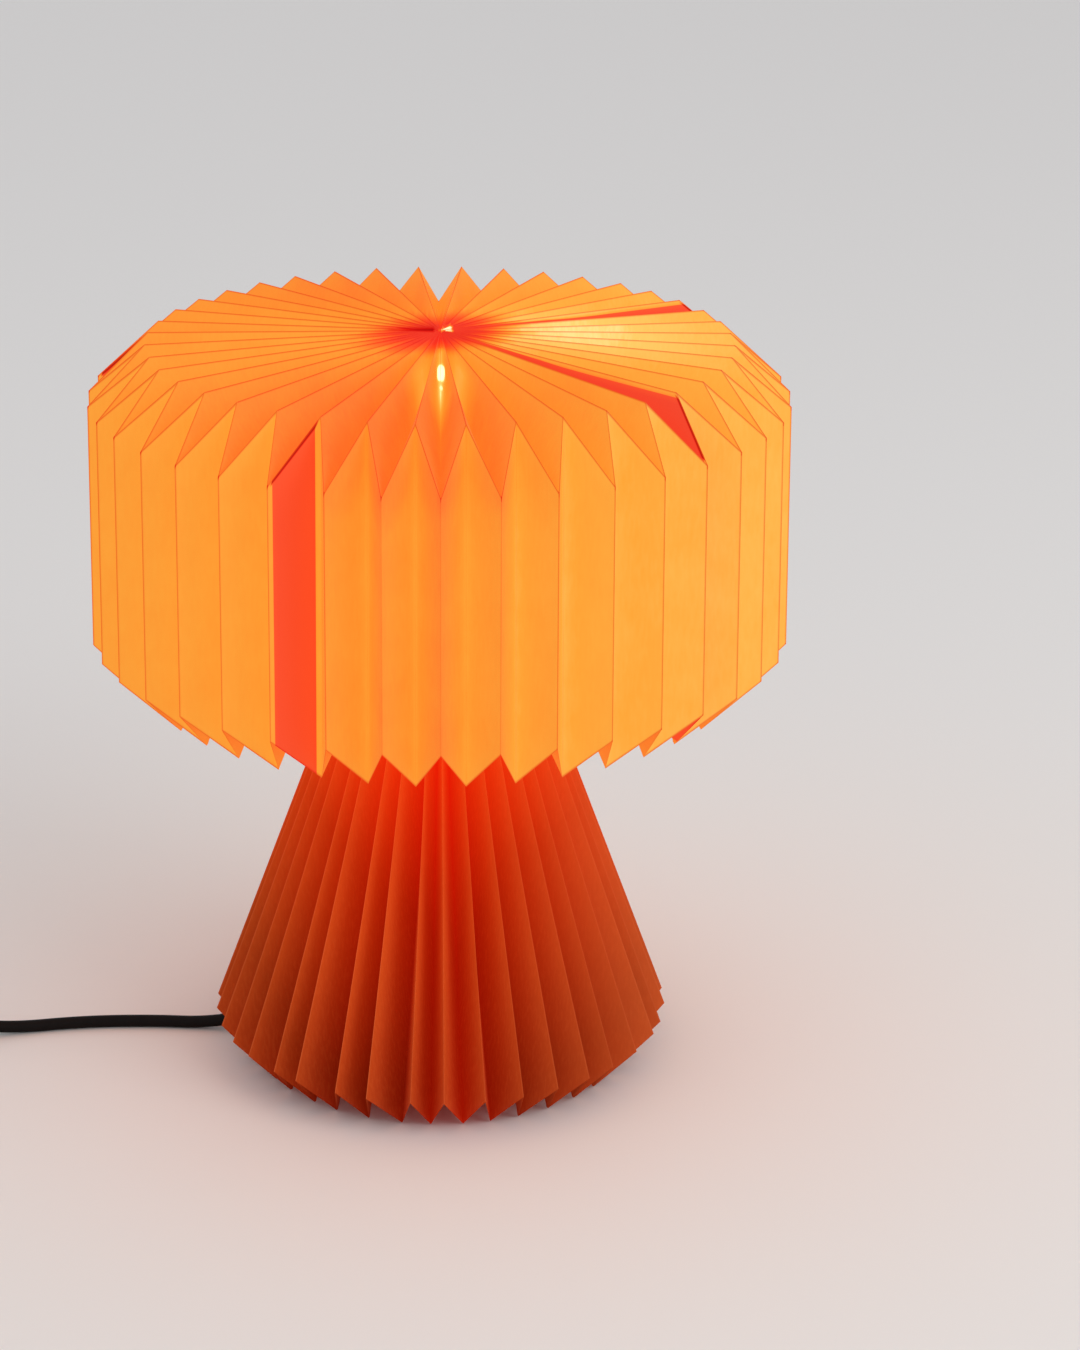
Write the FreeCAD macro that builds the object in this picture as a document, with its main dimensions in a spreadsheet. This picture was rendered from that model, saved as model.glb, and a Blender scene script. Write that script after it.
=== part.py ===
import FreeCAD, Part
import math
import os
import re
import Sketcher

# A table lamp of pleated paper: a round shade on a wire carrier, over a pleated paper foot.
# Millimetres, +Z up, origin on the table under the stem. The front is towards -Y.
# Azimuths run from the front towards +X, so x = r sin(a) and y = -r cos(a).

SIZES = {
    # Shade: five glued paper sheets with eight pleats each
    "shade_sheets": 5,
    "sheet_pleats": 8,
    "first_ridge": -3,
    "shade_turn": 0.2,
    "shade_radius": 150,
    "shade_flare": 1.5,
    "shoulder_depth": 24.9,
    "rim_depth": 22.9,
    "wall_height": 106.5,
    "shoulder_rise": 23.1,
    "crown_rise": 3.7,
    "rim_drop": 22.6,
    "flap_reach": 24.5,
    "flap_lift": 2,
    "hub_radius": 8,
    "paper_shift": 1,
    "hub_shift": 4,
    "tab_step": 1.2,
    "card_radius": 22,
    "card_thickness": 1.5,
    # Foot: two glued paper sheets
    "foot_sheets": 2,
    "foot_sheet_pleats": 19,
    "foot_turn": 1,
    "foot_radius": 102.2,
    "foot_ridge_height": 19.7,
    "foot_tip_radius": 84.8,
    "foot_tip_height": 0.5,
    "foot_shift": 1.2,
    "neck_shift": 1.4,
    "neck_depth": 26,
    "neck_overlap": 1,
    # Weighted pan, stem and collar
    "pad_thickness": 2,
    "pad_inset": 0.5,
    "pan_radius": 66,
    "pan_height": 34,
    "pan_wall": 1.2,
    "pan_bevel": 3,
    "weight_thickness": 8,
    "stem_radius": 5,
    "stem_bore": 4,
    "stem_rise": 155,
    "stem_tail": 2,
    "nut_radius": 8,
    "nut_thickness": 4,
    "washer_radius": 11,
    "washer_thickness": 1.2,
    "collar_radius": 14,
    "collar_thickness": 6,
    "cap_grip": 8,
    "fit": 0.2,
    "seat": 0.3,
    # Lampholder
    "holder_radius": 14,
    "holder_wall": 1.6,
    "cap_height": 18,
    "cap_foot_radius": 10,
    "cap_slope": 6,
    "shell_height": 34,
    "flange_radius": 17,
    "flange_height": 14,
    "flange_thickness": 2,
    "ring_radius": 19.5,
    "ring_height": 6,
    "insert_height": 40,
    "socket_depth": 22.5,
    "thread_radius": 7.2,
    "thread_wall": 0.4,
    "thread_height": 19,
    "contact_radius": 2.5,
    "contact_height": 2,
    # Bulb
    "bulb_radius": 22.5,
    "bulb_lift": 49,
    "glass_wall": 0.8,
    "neck_radius": 9.5,
    "screw_radius": 6.95,
    "screw_wall": 0.4,
    "screw_height": 17,
    "screw_flare": 3,
    "screw_rim": 2,
    "tip_radius": 2.2,
    "tip_height": 1.2,
    "insulator_height": 2,
    "insulator_radius": 5,
    "mount_radius": 1.6,
    "mount_disc": 7,
    "mount_disc_height": 0.6,
    "mount_flare_height": 1.2,
    "filament_drop": 15,
    "filament_length": 26,
    "filament_radius": 0.9,
    "filament_circle": 5.5,
    "filaments": 4,
    # Wire carrier of the shade
    "wire_radius": 1.5,
    "carrier_arms": 3,
    "carrier_plate_radius": 23,
    "carrier_plate": 2,
    "carrier_reach": 38,
    "carrier_rise": 82.4,
    "carrier_ring_radius": 20,
    "carrier_bend": 10,
    # Cord
    "cord_radius": 2.8,
    "cord_azimuth": -94.5,
    "lead_start": 18,
    "grommet_height": 8,
    "grommet_neck": 4.4,
    "grommet_flange": 5.4,
    "grommet_lip": 2,
    "cord_bend": 12.5,
    "coil_radius": 42,
    "coil_turns": 3.5,
    "coil_pitch": 6.3,
    "coil_layer": 6.2,
    "tie_thickness": 0.8,
    "tie_width": 8,
    # Cord switch
    "switch_length": 62,
    "switch_width": 25,
    "switch_split": 8.2,
    "switch_height": 16.4,
    "switch_wall": 2,
    "switch_round": 4,
    "switch_well": 12,
    "rocker_axis": 13,
    "rocker_radius": 9.2,
    "rocker_width": 11.2,
    "rocker_top": 4.6,
    "rocker_tilt": 10,
    "rocker_pin_radius": 1.5,
    "rocker_pin_length": 16,
    "blade_length": 22,
    "blade_width": 4,
    "blade_thickness": 0.8,
    "screw_offset": 25,
    "screw_shank": 1.5,
    "screw_head": 2.8,
    "screw_head_height": 1.6,
    "screw_length": 11,
    # Plug
    "plug_length": 35,
    "plug_width": 35.5,
    "plug_thickness": 13.7,
    "plug_round": 4,
    "pin_radius": 2,
    "pin_length": 19,
    "pin_sleeve_radius": 1.75,
    "pin_sleeve_length": 10,
    "pin_spacing": 18.6,
    "pin_root": 6,
    "sleeve_length": 20,
    "sleeve_radius": 5.5,
    "sleeve_lip": 0.8,
}

# Routes of the free cord, chosen by hand on the table. The lead starts square to the grommet's face.
LEAD_ROUTE = [
    (-108.0, 9.0, 2.85),
    (-132.0, 11.4, 2.85),
    (-165.0, 10.6, 2.85),
    (-198.0, 4.0, 2.85),
    (-219.0, -1.0, 8.2),
    (-240.0, -1.0, 8.2),
]
LINK_ROUTE = [
    (-302.0, -1.0, 8.2),
    (-321.0, -1.0, 8.2),
    (-343.0, -2.0, 4.05),
    (-364.0, -2.0, 4.05),
]
TAIL_ROUTE = [
    (-364.0, -86.0, 10.25),
    (-345.0, -86.0, 10.25),
    (-324.0, -87.0, 7.5),
    (-304.0, -87.0, 7.5),
]

doc = FreeCAD.newDocument("PaperLamp")
sheet = doc.addObject("Spreadsheet::Sheet", "Sizes")
for row, (alias, number) in enumerate(SIZES.items(), start=1):
    sheet.set(f"A{row}", alias)
    sheet.set(f"B{row}", str(number))
    sheet.setAlias(f"B{row}", alias)
doc.recompute()

# Every sub-part that is written out, by its label
nodes = {}


def value(formula):
    """The number that a formula of sheet names stands for."""
    return float(sheet.evalExpression(str(formula)))


def count(alias):
    """A whole number from the sheet."""
    return int(round(value(alias)))


def sheet_name(found):
    """A word of a formula, as the sheet's own name where it is one."""
    word = found.group(0)
    return "Sizes." + word if word in SIZES else word


def bind(item, **formulas):
    """Ties properties to formulas of sheet names; x, y and z are the place of the item."""
    places = {"x": "Placement.Base.x", "y": "Placement.Base.y", "z": "Placement.Base.z"}
    for name, formula in formulas.items():
        item.setExpression(places.get(name, name), re.sub(r"[a-z_]+", sheet_name, str(formula)))
    return item


def keep(label, item):
    """Marks an item as a sub-part with its own file."""
    item.Label = label
    nodes[label] = item
    return item


def cylinder(name, radius, height, **place):
    return bind(doc.addObject("Part::Cylinder", name), Radius=radius, Height=height, **place)


def lying_cylinder(name, radius, length, axis, **place):
    """A cylinder whose axis lies along a horizontal direction."""
    item = cylinder(name, radius, length, **place)
    item.Placement.Rotation = FreeCAD.Rotation(FreeCAD.Vector(0, 0, 1), axis)
    return item


def box(name, length, width, height, **place):
    item = doc.addObject("Part::Box", name)
    return bind(item, Length=length, Width=width, Height=height, **place)


def cut(name, base, *tools):
    """The base less its tools, one after another."""
    for number, tool in enumerate(tools, start=1):
        item = doc.addObject("Part::Cut", f"{name}_cut_{number}")
        item.Base = base
        item.Tool = tool
        base = item
    return base


def fuse(name, *shapes):
    item = doc.addObject("Part::MultiFuse", name)
    item.Shapes = list(shapes)
    return item


def group(name, *shapes):
    """Separate solids that share one node."""
    item = doc.addObject("Part::Compound", name)
    item.Links = list(shapes)
    return item


def feature(name, shape):
    """A sub-part whose shape comes from the sheet's sizes by its own construction."""
    item = doc.addObject("Part::Feature", name)
    item.Shape = shape
    return item


def turned(name, profile):
    """A body turned about Z from a closed profile of (radius, height) formulas."""
    body = doc.addObject("PartDesign::Body", name)
    sketch = body.newObject("Sketcher::SketchObject", name + "_profile")
    plane = [item for item in body.Origin.OriginFeatures if item.Role == "XZ_Plane"][0]
    sketch.AttachmentSupport = [(plane, "")]
    sketch.MapMode = "FlatFace"
    corners = [FreeCAD.Vector(value(radius), value(height), 0) for radius, height in profile]
    total = len(corners)
    for index, corner in enumerate(corners):
        sketch.addGeometry(Part.LineSegment(corner, corners[(index + 1) % total]), False)
    for index in range(total):
        sketch.addConstraint(Sketcher.Constraint("Coincident", index, 2, (index + 1) % total, 1))
    for index, formulas in enumerate(profile):
        for kind, formula, number in zip(("DistanceX", "DistanceY"), formulas, corners[index]):
            tie = sketch.addConstraint(Sketcher.Constraint(kind, -1, 1, index, 1, number))
            sketch.renameConstraint(tie, f"{kind}{index}")
            bind(sketch, **{f"Constraints.{kind}{index}": formula})
    turn = body.newObject("PartDesign::Revolution", name + "_turn")
    turn.Profile = sketch
    turn.ReferenceAxis = (sketch, ["V_Axis"])
    turn.Angle = 360
    return body


def rounded_block(name, length, width, height, radius, **place):
    """A block with its four upright edges rounded."""
    body = doc.addObject("PartDesign::Body", name)
    block = body.newObject("PartDesign::AdditiveBox", name + "_block")
    bind(block, Length=length, Width=width, Height=height)
    doc.recompute()
    upright = [
        f"Edge{number}"
        for number, edge in enumerate(block.Shape.Edges, start=1)
        if abs(edge.Vertexes[0].Point.z - edge.Vertexes[-1].Point.z) > value(height) / 2
    ]
    fillet = body.newObject("PartDesign::Fillet", name + "_rounding")
    fillet.Base = (block, upright)
    bind(fillet, Radius=radius)
    bind(body, **place)
    return body


def polar(radius, azimuth, height):
    """A point at a radius, an azimuth in degrees from the front and a height."""
    angle = math.radians(azimuth)
    return FreeCAD.Vector(radius * math.sin(angle), -radius * math.cos(angle), height)


def thick_sheet(points, inner, triangles):
    """A closed solid between a sheet of triangles and the same sheet on its inner points."""
    edges = {}

    def edge(start, end):
        key = frozenset((start, end))
        if key not in edges:
            first, second = (vertex(corner) for corner in (start, end))
            edges[key] = Part.makeLine(first, second)
        return edges[key]

    def vertex(corner):
        side, index = corner
        return inner[index] if side else points[index]

    def facet(*corners):
        ends = corners[1:] + corners[:1]
        return Part.Face(Part.Wire([edge(start, end) for start, end in zip(corners, ends)]))

    faces = []
    uses = {}
    for triangle in triangles:
        for side in (0, 1):
            faces.append(facet(*[(side, index) for index in triangle]))
        for start, end in zip(triangle, triangle[1:] + triangle[:1]):
            uses.setdefault(frozenset((start, end)), []).append((start, end))
    for start, end in [found[0] for found in uses.values() if len(found) == 1]:
        faces.append(facet((0, start), (0, end), (1, end)))
        faces.append(facet((0, start), (1, end), (1, start)))
    solid = Part.Solid(Part.Shell(faces))
    if solid.Volume < 0:
        solid.reverse()
    return solid


def rounded_path(points, radius=None):
    """Straight runs with tangent arcs, each as large as 0.45 of its shorter run allows."""
    pieces = []
    radii = []
    at = points[0]
    for before, corner, after in zip(points, points[1:], points[2:]):
        to_before = (before - corner).normalize()
        to_after = (after - corner).normalize()
        half_turn = (math.pi - to_before.getAngle(to_after)) / 2
        reach = 0.45 * min((before - corner).Length, (after - corner).Length)
        if radius:
            reach = radius * math.tan(half_turn)
        bend = reach / math.tan(half_turn)
        radii.append(bend)
        start = corner + to_before * reach
        end = corner + to_after * reach
        inward = (to_before + to_after).normalize()
        middle = corner + inward * (bend / math.cos(half_turn) - bend)
        pieces.append(Part.LineSegment(at, start).toShape())
        pieces.append(Part.Arc(start, middle, end).toShape())
        at = end
    pieces.append(Part.LineSegment(at, points[-1]).toShape())
    return Part.Wire(pieces), radii


def tube(path, radius):
    """A round solid along a path."""
    first = path.Edges[0]
    start = first.valueAt(first.FirstParameter)
    heading = first.tangentAt(first.FirstParameter)
    profile = Part.Wire([Part.makeCircle(radius, start, heading)])
    return path.makePipeShell([profile], True, False)


def cord_tube(name, points):
    """A free stretch of cord, with its bend radii and volume reported."""
    path, radii = rounded_path(points)
    solid = tube(path, CORD)
    ideal = math.pi * CORD**2 * path.Length
    rounded = ", ".join(f"{bend:.0f}" for bend in radii)
    print(f"{name}: length {path.Length:.1f}, radii {rounded}, volume ratio {solid.Volume / ideal:.4f}")
    return solid, path.Length


def vectors(route):
    return [FreeCAD.Vector(*point) for point in route]


# Heights of the stack, from the table up
PAN_TOP = "pad_thickness + pan_height"
WEIGHT_BOTTOM = f"{PAN_TOP} - pan_wall - weight_thickness"
STEM_BOTTOM = f"{WEIGHT_BOTTOM} - nut_thickness - stem_tail"
STEM_TOP = f"{PAN_TOP} + stem_rise"
CAP_BOTTOM = f"{STEM_TOP} - cap_grip"
COLLAR_TOP = f"{CAP_BOTTOM} - nut_thickness"
COLLAR_BOTTOM = f"{COLLAR_TOP} - collar_thickness"
NECK_TOP = f"{COLLAR_TOP} + neck_overlap"
SHELL_BOTTOM = f"{CAP_BOTTOM} + cap_height"
SHELL_TOP = f"{SHELL_BOTTOM} + shell_height"
FLANGE_TOP = f"{SHELL_BOTTOM} + flange_height + flange_thickness"
INSERT_BOTTOM = f"{CAP_BOTTOM} + cap_grip + washer_thickness"
INSERT_TOP = f"{INSERT_BOTTOM} + insert_height"
SOCKET_BOTTOM = f"{INSERT_TOP} - socket_depth"
TIP_BOTTOM = f"{SOCKET_BOTTOM} + contact_height + fit / 2"
INSULATOR_BOTTOM = f"{TIP_BOTTOM} + tip_height"
SCREW_BOTTOM = f"{INSULATOR_BOTTOM} + insulator_height"
SCREW_SHOULDER = f"{SCREW_BOTTOM} + screw_height"
SCREW_TOP = f"{SCREW_SHOULDER} + screw_flare + screw_rim"
BULB_MIDDLE = f"{TIP_BOTTOM} + bulb_lift"
RING_BOTTOM = f"{FLANGE_TOP} + carrier_plate + fit / 2"
WIRE_LEVEL = f"{FLANGE_TOP} + carrier_plate / 2"
CARRIER_LEVEL = f"{WIRE_LEVEL} + carrier_rise"
CARD_BOTTOM = f"{CARRIER_LEVEL} + wire_radius + fit"
CARD_TOP = f"{CARD_BOTTOM} + card_thickness"
CROWN_VALLEY = f"{CARD_TOP} + fit / 2 + hub_shift"
STEM_HOLE = "stem_radius + fit"

CORD = value("cord_radius")


def shade_sheet(number):
    """One sheet of the shade: crown, wall and rim flaps of its pleats, with its glue tab."""
    pleats = count("sheet_pleats")
    pitch = 360 / (pleats * count("shade_sheets"))
    first = count("first_ridge") + number * pleats
    outer = value("shade_radius")
    rim = outer + value("shade_flare")
    valley_level = value(CROWN_VALLEY)
    shoulder = valley_level + value("shoulder_rise")
    notch = valley_level - value("wall_height")
    shift = value("paper_shift")
    hub_shift = value("hub_shift")
    step = value("tab_step")
    hub = value("hub_radius")
    # Radius, height and inward shift of each row, on ridge columns and on valley columns
    ridge_rows = [
        (hub, valley_level, 0, -hub_shift),
        (outer, valley_level, -shift, -shift),
        (rim, notch, -shift, shift),
        (rim - value("flap_reach"), notch + value("flap_lift"), 0, shift),
    ]
    valley_rows = [
        (hub, shoulder + value("crown_rise"), 0, -hub_shift),
        (outer - value("shoulder_depth"), shoulder, -shift, -shift),
        (rim - value("rim_depth"), notch - value("rim_drop"), -shift, shift),
    ]
    points = []
    inner = []
    columns = []
    last = 2 * pleats
    for column in range(last + 2):
        azimuth = value("shade_turn") + (first + column / 2) * pitch
        rows = valley_rows if column % 2 else ridge_rows
        columns.append([])
        for row, (radius, height, inward, down) in enumerate(rows):
            sunk = step if column >= last and row in (1, 2) else 0
            columns[-1].append(len(points))
            points.append(polar(radius + sunk * inward, azimuth, height + sunk * down))
            inner.append(polar(radius + (sunk + 1) * inward, azimuth, height + (sunk + 1) * down))
    triangles = []
    for column in range(last + 1):
        pair = columns[column : column + 2]
        ridge, valley = pair if column % 2 == 0 else pair[::-1]
        wall = [(ridge[1], ridge[2], valley[2]), (ridge[1], valley[2], valley[1])]
        crown = [(ridge[0], ridge[1], valley[1]), (ridge[0], valley[1], valley[0])]
        flap = [(ridge[2], ridge[3], valley[2])]
        triangles += wall if column == last else crown + wall + flap
    used = sorted({index for triangle in triangles for index in triangle})
    renumber = {index: place for place, index in enumerate(used)}
    return thick_sheet(
        [points[index] for index in used],
        [inner[index] for index in used],
        [tuple(renumber[index] for index in triangle) for triangle in triangles],
    )


for number in range(count("shade_sheets")):
    keep(f"shade_sheet_{number + 1}", feature(f"ShadeSheet{number + 1}", shade_sheet(number)))

# Card ring glued under the pleats at the hub; the crown hangs on it
card = turned(
    "CardRing",
    [
        ("hub_radius", CARD_BOTTOM),
        ("card_radius", CARD_BOTTOM),
        ("card_radius", CARD_TOP),
        ("hub_radius", CARD_TOP),
    ],
)
keep("hub_card_ring", card)


def foot_sheet(number):
    """One sheet of the foot: plain pleats from the table to the collar, with its glue tab."""
    pleats = count("foot_sheet_pleats")
    pitch = 360 / (pleats * count("foot_sheets"))
    first = number * pleats
    step = value("tab_step")
    low = value("foot_shift")
    high = value("neck_shift")
    neck = value("collar_radius + seat") + (1 + step) * high
    rows = [
        [
            (value("foot_radius"), value("foot_ridge_height"), low),
            (neck + value("neck_depth"), value(NECK_TOP), high),
        ],
        [
            (value("foot_tip_radius"), value("foot_tip_height"), low),
            (neck, value(NECK_TOP), high),
        ],
    ]
    points = []
    inner = []
    triangles = []
    last = 2 * pleats
    for column in range(last + 2):
        azimuth = value("foot_turn") + (first + column / 2) * pitch
        sunk = step if column >= last else 0
        for radius, height, shift in rows[column % 2]:
            points.append(polar(radius - sunk * shift, azimuth, height))
            inner.append(polar(radius - (sunk + 1) * shift, azimuth, height))
        if column:
            bottom = 2 * column - 2
            triangles += [(bottom, bottom + 1, bottom + 3), (bottom, bottom + 3, bottom + 2)]
    return thick_sheet(points, inner, triangles)


for number in range(count("foot_sheets")):
    keep(f"foot_sheet_{number + 1}", feature(f"FootSheet{number + 1}", foot_sheet(number)))

# Soft pad, pressed pan and weight of the foot
pad = turned(
    "BottomPad",
    [
        ("0", "0"),
        ("pan_radius - pad_inset", "0"),
        ("pan_radius - pad_inset", "pad_thickness"),
        ("0", "pad_thickness"),
    ],
)
keep("bottom_pad", pad)

pan_inside = "pan_radius - pan_wall"
pan_shell = turned(
    "PanShell",
    [
        ("pan_radius", "pad_thickness"),
        ("pan_radius", f"{PAN_TOP} - pan_bevel"),
        ("pan_radius - pan_bevel", PAN_TOP),
        (STEM_HOLE, PAN_TOP),
        (STEM_HOLE, f"{PAN_TOP} - pan_wall"),
        (f"{pan_inside} - pan_bevel", f"{PAN_TOP} - pan_wall"),
        (pan_inside, f"{PAN_TOP} - pan_wall - pan_bevel"),
        (pan_inside, "pad_thickness"),
    ],
)
cord_axis = polar(1, value("cord_azimuth"), 0)


def along_cord(distance, height="grommet_height"):
    """Places on the cord's way out of the pan, as formulas."""
    return {
        "x": f"({distance}) * sin(cord_azimuth * 1 deg)",
        "y": f"-({distance}) * cos(cord_azimuth * 1 deg)",
        "z": height,
    }


def on_cord_axis(name, radius, length, start):
    return lying_cylinder(name, radius, length, cord_axis, **along_cord(start))


hole_start = "pan_radius - 2 * pan_wall"
cord_hole = on_cord_axis("CordHole", "grommet_neck + fit", "3 * pan_wall", hole_start)
keep("base_pan", cut("Pan", pan_shell, cord_hole))

weight = turned(
    "Weight",
    [
        (STEM_HOLE, WEIGHT_BOTTOM),
        (f"{pan_inside} - pan_bevel - fit", WEIGHT_BOTTOM),
        (f"{pan_inside} - pan_bevel - fit", f"{PAN_TOP} - pan_wall"),
        (STEM_HOLE, f"{PAN_TOP} - pan_wall"),
    ],
)
keep("weight_disc", weight)

# Grommet: a neck in the pan's wall between two lips, with the cord through it
GROMMET_FACE = "pan_radius + seat + grommet_lip"
GROMMET_BACK = "pan_radius - pan_wall - pan_bevel / 4 - grommet_lip"
grommet_length = f"{GROMMET_FACE} - ({GROMMET_BACK})"
grommet_neck = on_cord_axis("GrommetNeck", "grommet_neck", grommet_length, GROMMET_BACK)
outer_lip = on_cord_axis("GrommetOuterLip", "grommet_flange", "grommet_lip", "pan_radius + seat")
inner_lip = on_cord_axis("GrommetInnerLip", "grommet_flange", "grommet_lip", GROMMET_BACK)
bore = on_cord_axis("GrommetBore", "cord_radius + fit / 2", grommet_length, GROMMET_BACK)
keep("cord_grommet", cut("Grommet", fuse("GrommetBlank", grommet_neck, outer_lip, inner_lip), bore))

# Stem tube with the nuts and washers that clamp pan, weight and collar
stem = turned(
    "Stem",
    [
        ("stem_bore", STEM_BOTTOM),
        ("stem_radius", STEM_BOTTOM),
        ("stem_radius", STEM_TOP),
        ("stem_bore", STEM_TOP),
    ],
)
keep("stem_tube", stem)


def hex_nut(name, bottom):
    """A hexagon nut on the stem."""
    blank = doc.addObject("Part::Prism", name + "_blank")
    blank.Polygon = 6
    bind(blank, Circumradius="nut_radius", Height="nut_thickness", z=bottom)
    hole = cylinder(name + "_hole", "stem_radius + fit / 2", "nut_thickness", z=bottom)
    return cut(name, blank, hole)


def washer(name, bottom):
    disc = cylinder(name + "_disc", "washer_radius", "washer_thickness", z=bottom)
    hole = cylinder(name + "_hole", STEM_HOLE, "washer_thickness", z=bottom)
    return cut(name, disc, hole)


PAN_NUT = f"{PAN_TOP} + washer_thickness"
COLLAR_WASHER = f"{COLLAR_BOTTOM} - washer_thickness"
nuts = [
    hex_nut("WeightNut", f"{WEIGHT_BOTTOM} - nut_thickness"),
    hex_nut("PanNut", PAN_NUT),
    hex_nut("CollarLowerNut", f"{COLLAR_WASHER} - nut_thickness"),
    hex_nut("CollarUpperNut", COLLAR_TOP),
]
keep("stem_nuts", group("StemNuts", *nuts))
washers = [washer("PanWasher", PAN_TOP), washer("CollarWasher", COLLAR_WASHER)]
keep("stem_washers", group("StemWashers", *washers))

collar = turned(
    "Collar",
    [
        (STEM_HOLE, COLLAR_BOTTOM),
        ("collar_radius", COLLAR_BOTTOM),
        ("collar_radius", COLLAR_TOP),
        (STEM_HOLE, COLLAR_TOP),
    ],
)
keep("cone_collar", collar)

# Lampholder: cap on the stem, shell with flange, insert, thread shell and centre contact
holder_inside = "holder_radius - holder_wall"
CAP_FLOOR = f"{CAP_BOTTOM} + cap_grip"
cap = turned(
    "HolderCap",
    [
        (STEM_HOLE, CAP_BOTTOM),
        ("cap_foot_radius", CAP_BOTTOM),
        ("holder_radius", f"{CAP_BOTTOM} + cap_slope"),
        ("holder_radius", SHELL_BOTTOM),
        (holder_inside, SHELL_BOTTOM),
        (holder_inside, INSERT_BOTTOM),
        (f"{holder_inside} - holder_wall", INSERT_BOTTOM),
        (f"{holder_inside} - holder_wall", CAP_FLOOR),
        (STEM_HOLE, CAP_FLOOR),
    ],
)
keep("holder_cap", cap)

shell = turned(
    "HolderShell",
    [
        (holder_inside, SHELL_BOTTOM),
        ("holder_radius", SHELL_BOTTOM),
        ("holder_radius", f"{SHELL_BOTTOM} + flange_height"),
        ("flange_radius", f"{SHELL_BOTTOM} + flange_height"),
        ("flange_radius", FLANGE_TOP),
        ("holder_radius", FLANGE_TOP),
        ("holder_radius", SHELL_TOP),
        (holder_inside, SHELL_TOP),
    ],
)
keep("holder_shell", shell)

ring = turned(
    "HolderRing",
    [
        ("holder_radius + fit", RING_BOTTOM),
        ("ring_radius", RING_BOTTOM),
        ("ring_radius", f"{RING_BOTTOM} + ring_height"),
        ("holder_radius + fit", f"{RING_BOTTOM} + ring_height"),
    ],
)
keep("holder_ring", ring)

socket = "thread_radius + thread_wall + fit / 2"
insert = turned(
    "HolderInsert",
    [
        ("0", INSERT_BOTTOM),
        (f"{holder_inside} - fit", INSERT_BOTTOM),
        (f"{holder_inside} - fit", INSERT_TOP),
        (socket, INSERT_TOP),
        (socket, SOCKET_BOTTOM),
        ("0", SOCKET_BOTTOM),
    ],
)
keep("holder_insert", insert)

thread = turned(
    "HolderThread",
    [
        ("thread_radius", f"{INSERT_TOP} - thread_height"),
        ("thread_radius + thread_wall", f"{INSERT_TOP} - thread_height"),
        ("thread_radius + thread_wall", INSERT_TOP),
        ("thread_radius", INSERT_TOP),
    ],
)
keep("holder_thread", thread)

keep("holder_contact", cylinder("HolderContact", "contact_radius", "contact_height", z=SOCKET_BOTTOM))

# Bulb: contact tip, insulator, screw cap, glass, inner mount and filaments
keep("bulb_tip", cylinder("BulbTip", "tip_radius", "tip_height", z=TIP_BOTTOM))

insulator = turned(
    "BulbInsulator",
    [
        ("0", INSULATOR_BOTTOM),
        ("tip_radius", INSULATOR_BOTTOM),
        ("insulator_radius", SCREW_BOTTOM),
        ("0", SCREW_BOTTOM),
    ],
)
keep("bulb_insulator", insulator)

screw_inside = "screw_radius - screw_wall"
rim_inside = "neck_radius - glass_wall"
SCREW_FLARE_TOP = f"{SCREW_SHOULDER} + screw_flare"
screw_cap = turned(
    "BulbCap",
    [
        ("0", SCREW_BOTTOM),
        ("screw_radius", SCREW_BOTTOM),
        ("screw_radius", SCREW_SHOULDER),
        ("neck_radius", SCREW_FLARE_TOP),
        ("neck_radius", SCREW_TOP),
        (rim_inside, SCREW_TOP),
        (rim_inside, SCREW_FLARE_TOP),
        (screw_inside, SCREW_SHOULDER),
        (screw_inside, f"{SCREW_BOTTOM} + screw_wall"),
        ("0", f"{SCREW_BOTTOM} + screw_wall"),
    ],
)
keep("bulb_cap", screw_cap)


def bulb_form(name, globe, stalk):
    """A globe on a straight neck."""
    ball = bind(doc.addObject("Part::Sphere", name + "_globe"), Radius=globe, z=BULB_MIDDLE)
    neck_length = f"{BULB_MIDDLE} - ({SCREW_TOP})"
    return fuse(name, ball, cylinder(name + "_neck", stalk, neck_length, z=SCREW_TOP))


glass_outside = bulb_form("GlassOutside", "bulb_radius", "neck_radius")
glass_inside = bulb_form("GlassInside", "bulb_radius - glass_wall", rim_inside)
keep("bulb_glass", cut("Glass", glass_outside, glass_inside))

mount_flare = "neck_radius - glass_wall - fit"
FILAMENT_BOTTOM = f"{BULB_MIDDLE} - filament_drop + mount_disc_height"
FILAMENT_TOP = f"{FILAMENT_BOTTOM} + filament_length"
mount = turned(
    "BulbMount",
    [
        ("0", SCREW_TOP),
        (mount_flare, SCREW_TOP),
        (mount_flare, f"{SCREW_TOP} + mount_flare_height"),
        ("mount_radius", f"{SCREW_TOP} + mount_flare_height"),
        ("mount_radius", f"{BULB_MIDDLE} - filament_drop"),
        ("mount_disc", f"{BULB_MIDDLE} - filament_drop"),
        ("mount_disc", FILAMENT_BOTTOM),
        ("mount_radius", FILAMENT_BOTTOM),
        ("mount_radius", FILAMENT_TOP),
        ("mount_disc", FILAMENT_TOP),
        ("mount_disc", f"{FILAMENT_TOP} + mount_disc_height"),
        ("0", f"{FILAMENT_TOP} + mount_disc_height"),
    ],
)
keep("bulb_mount", mount)

filaments = []
for number in range(count("filaments")):
    turn = f"{number} * 360 / filaments * 1 deg"
    place = {"x": f"filament_circle * cos({turn})", "y": f"filament_circle * sin({turn})"}
    name = f"Filament{number + 1}"
    filaments.append(cylinder(name, "filament_radius", "filament_length", z=FILAMENT_BOTTOM, **place))
keep("bulb_filaments", group("Filaments", *filaments))


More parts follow.
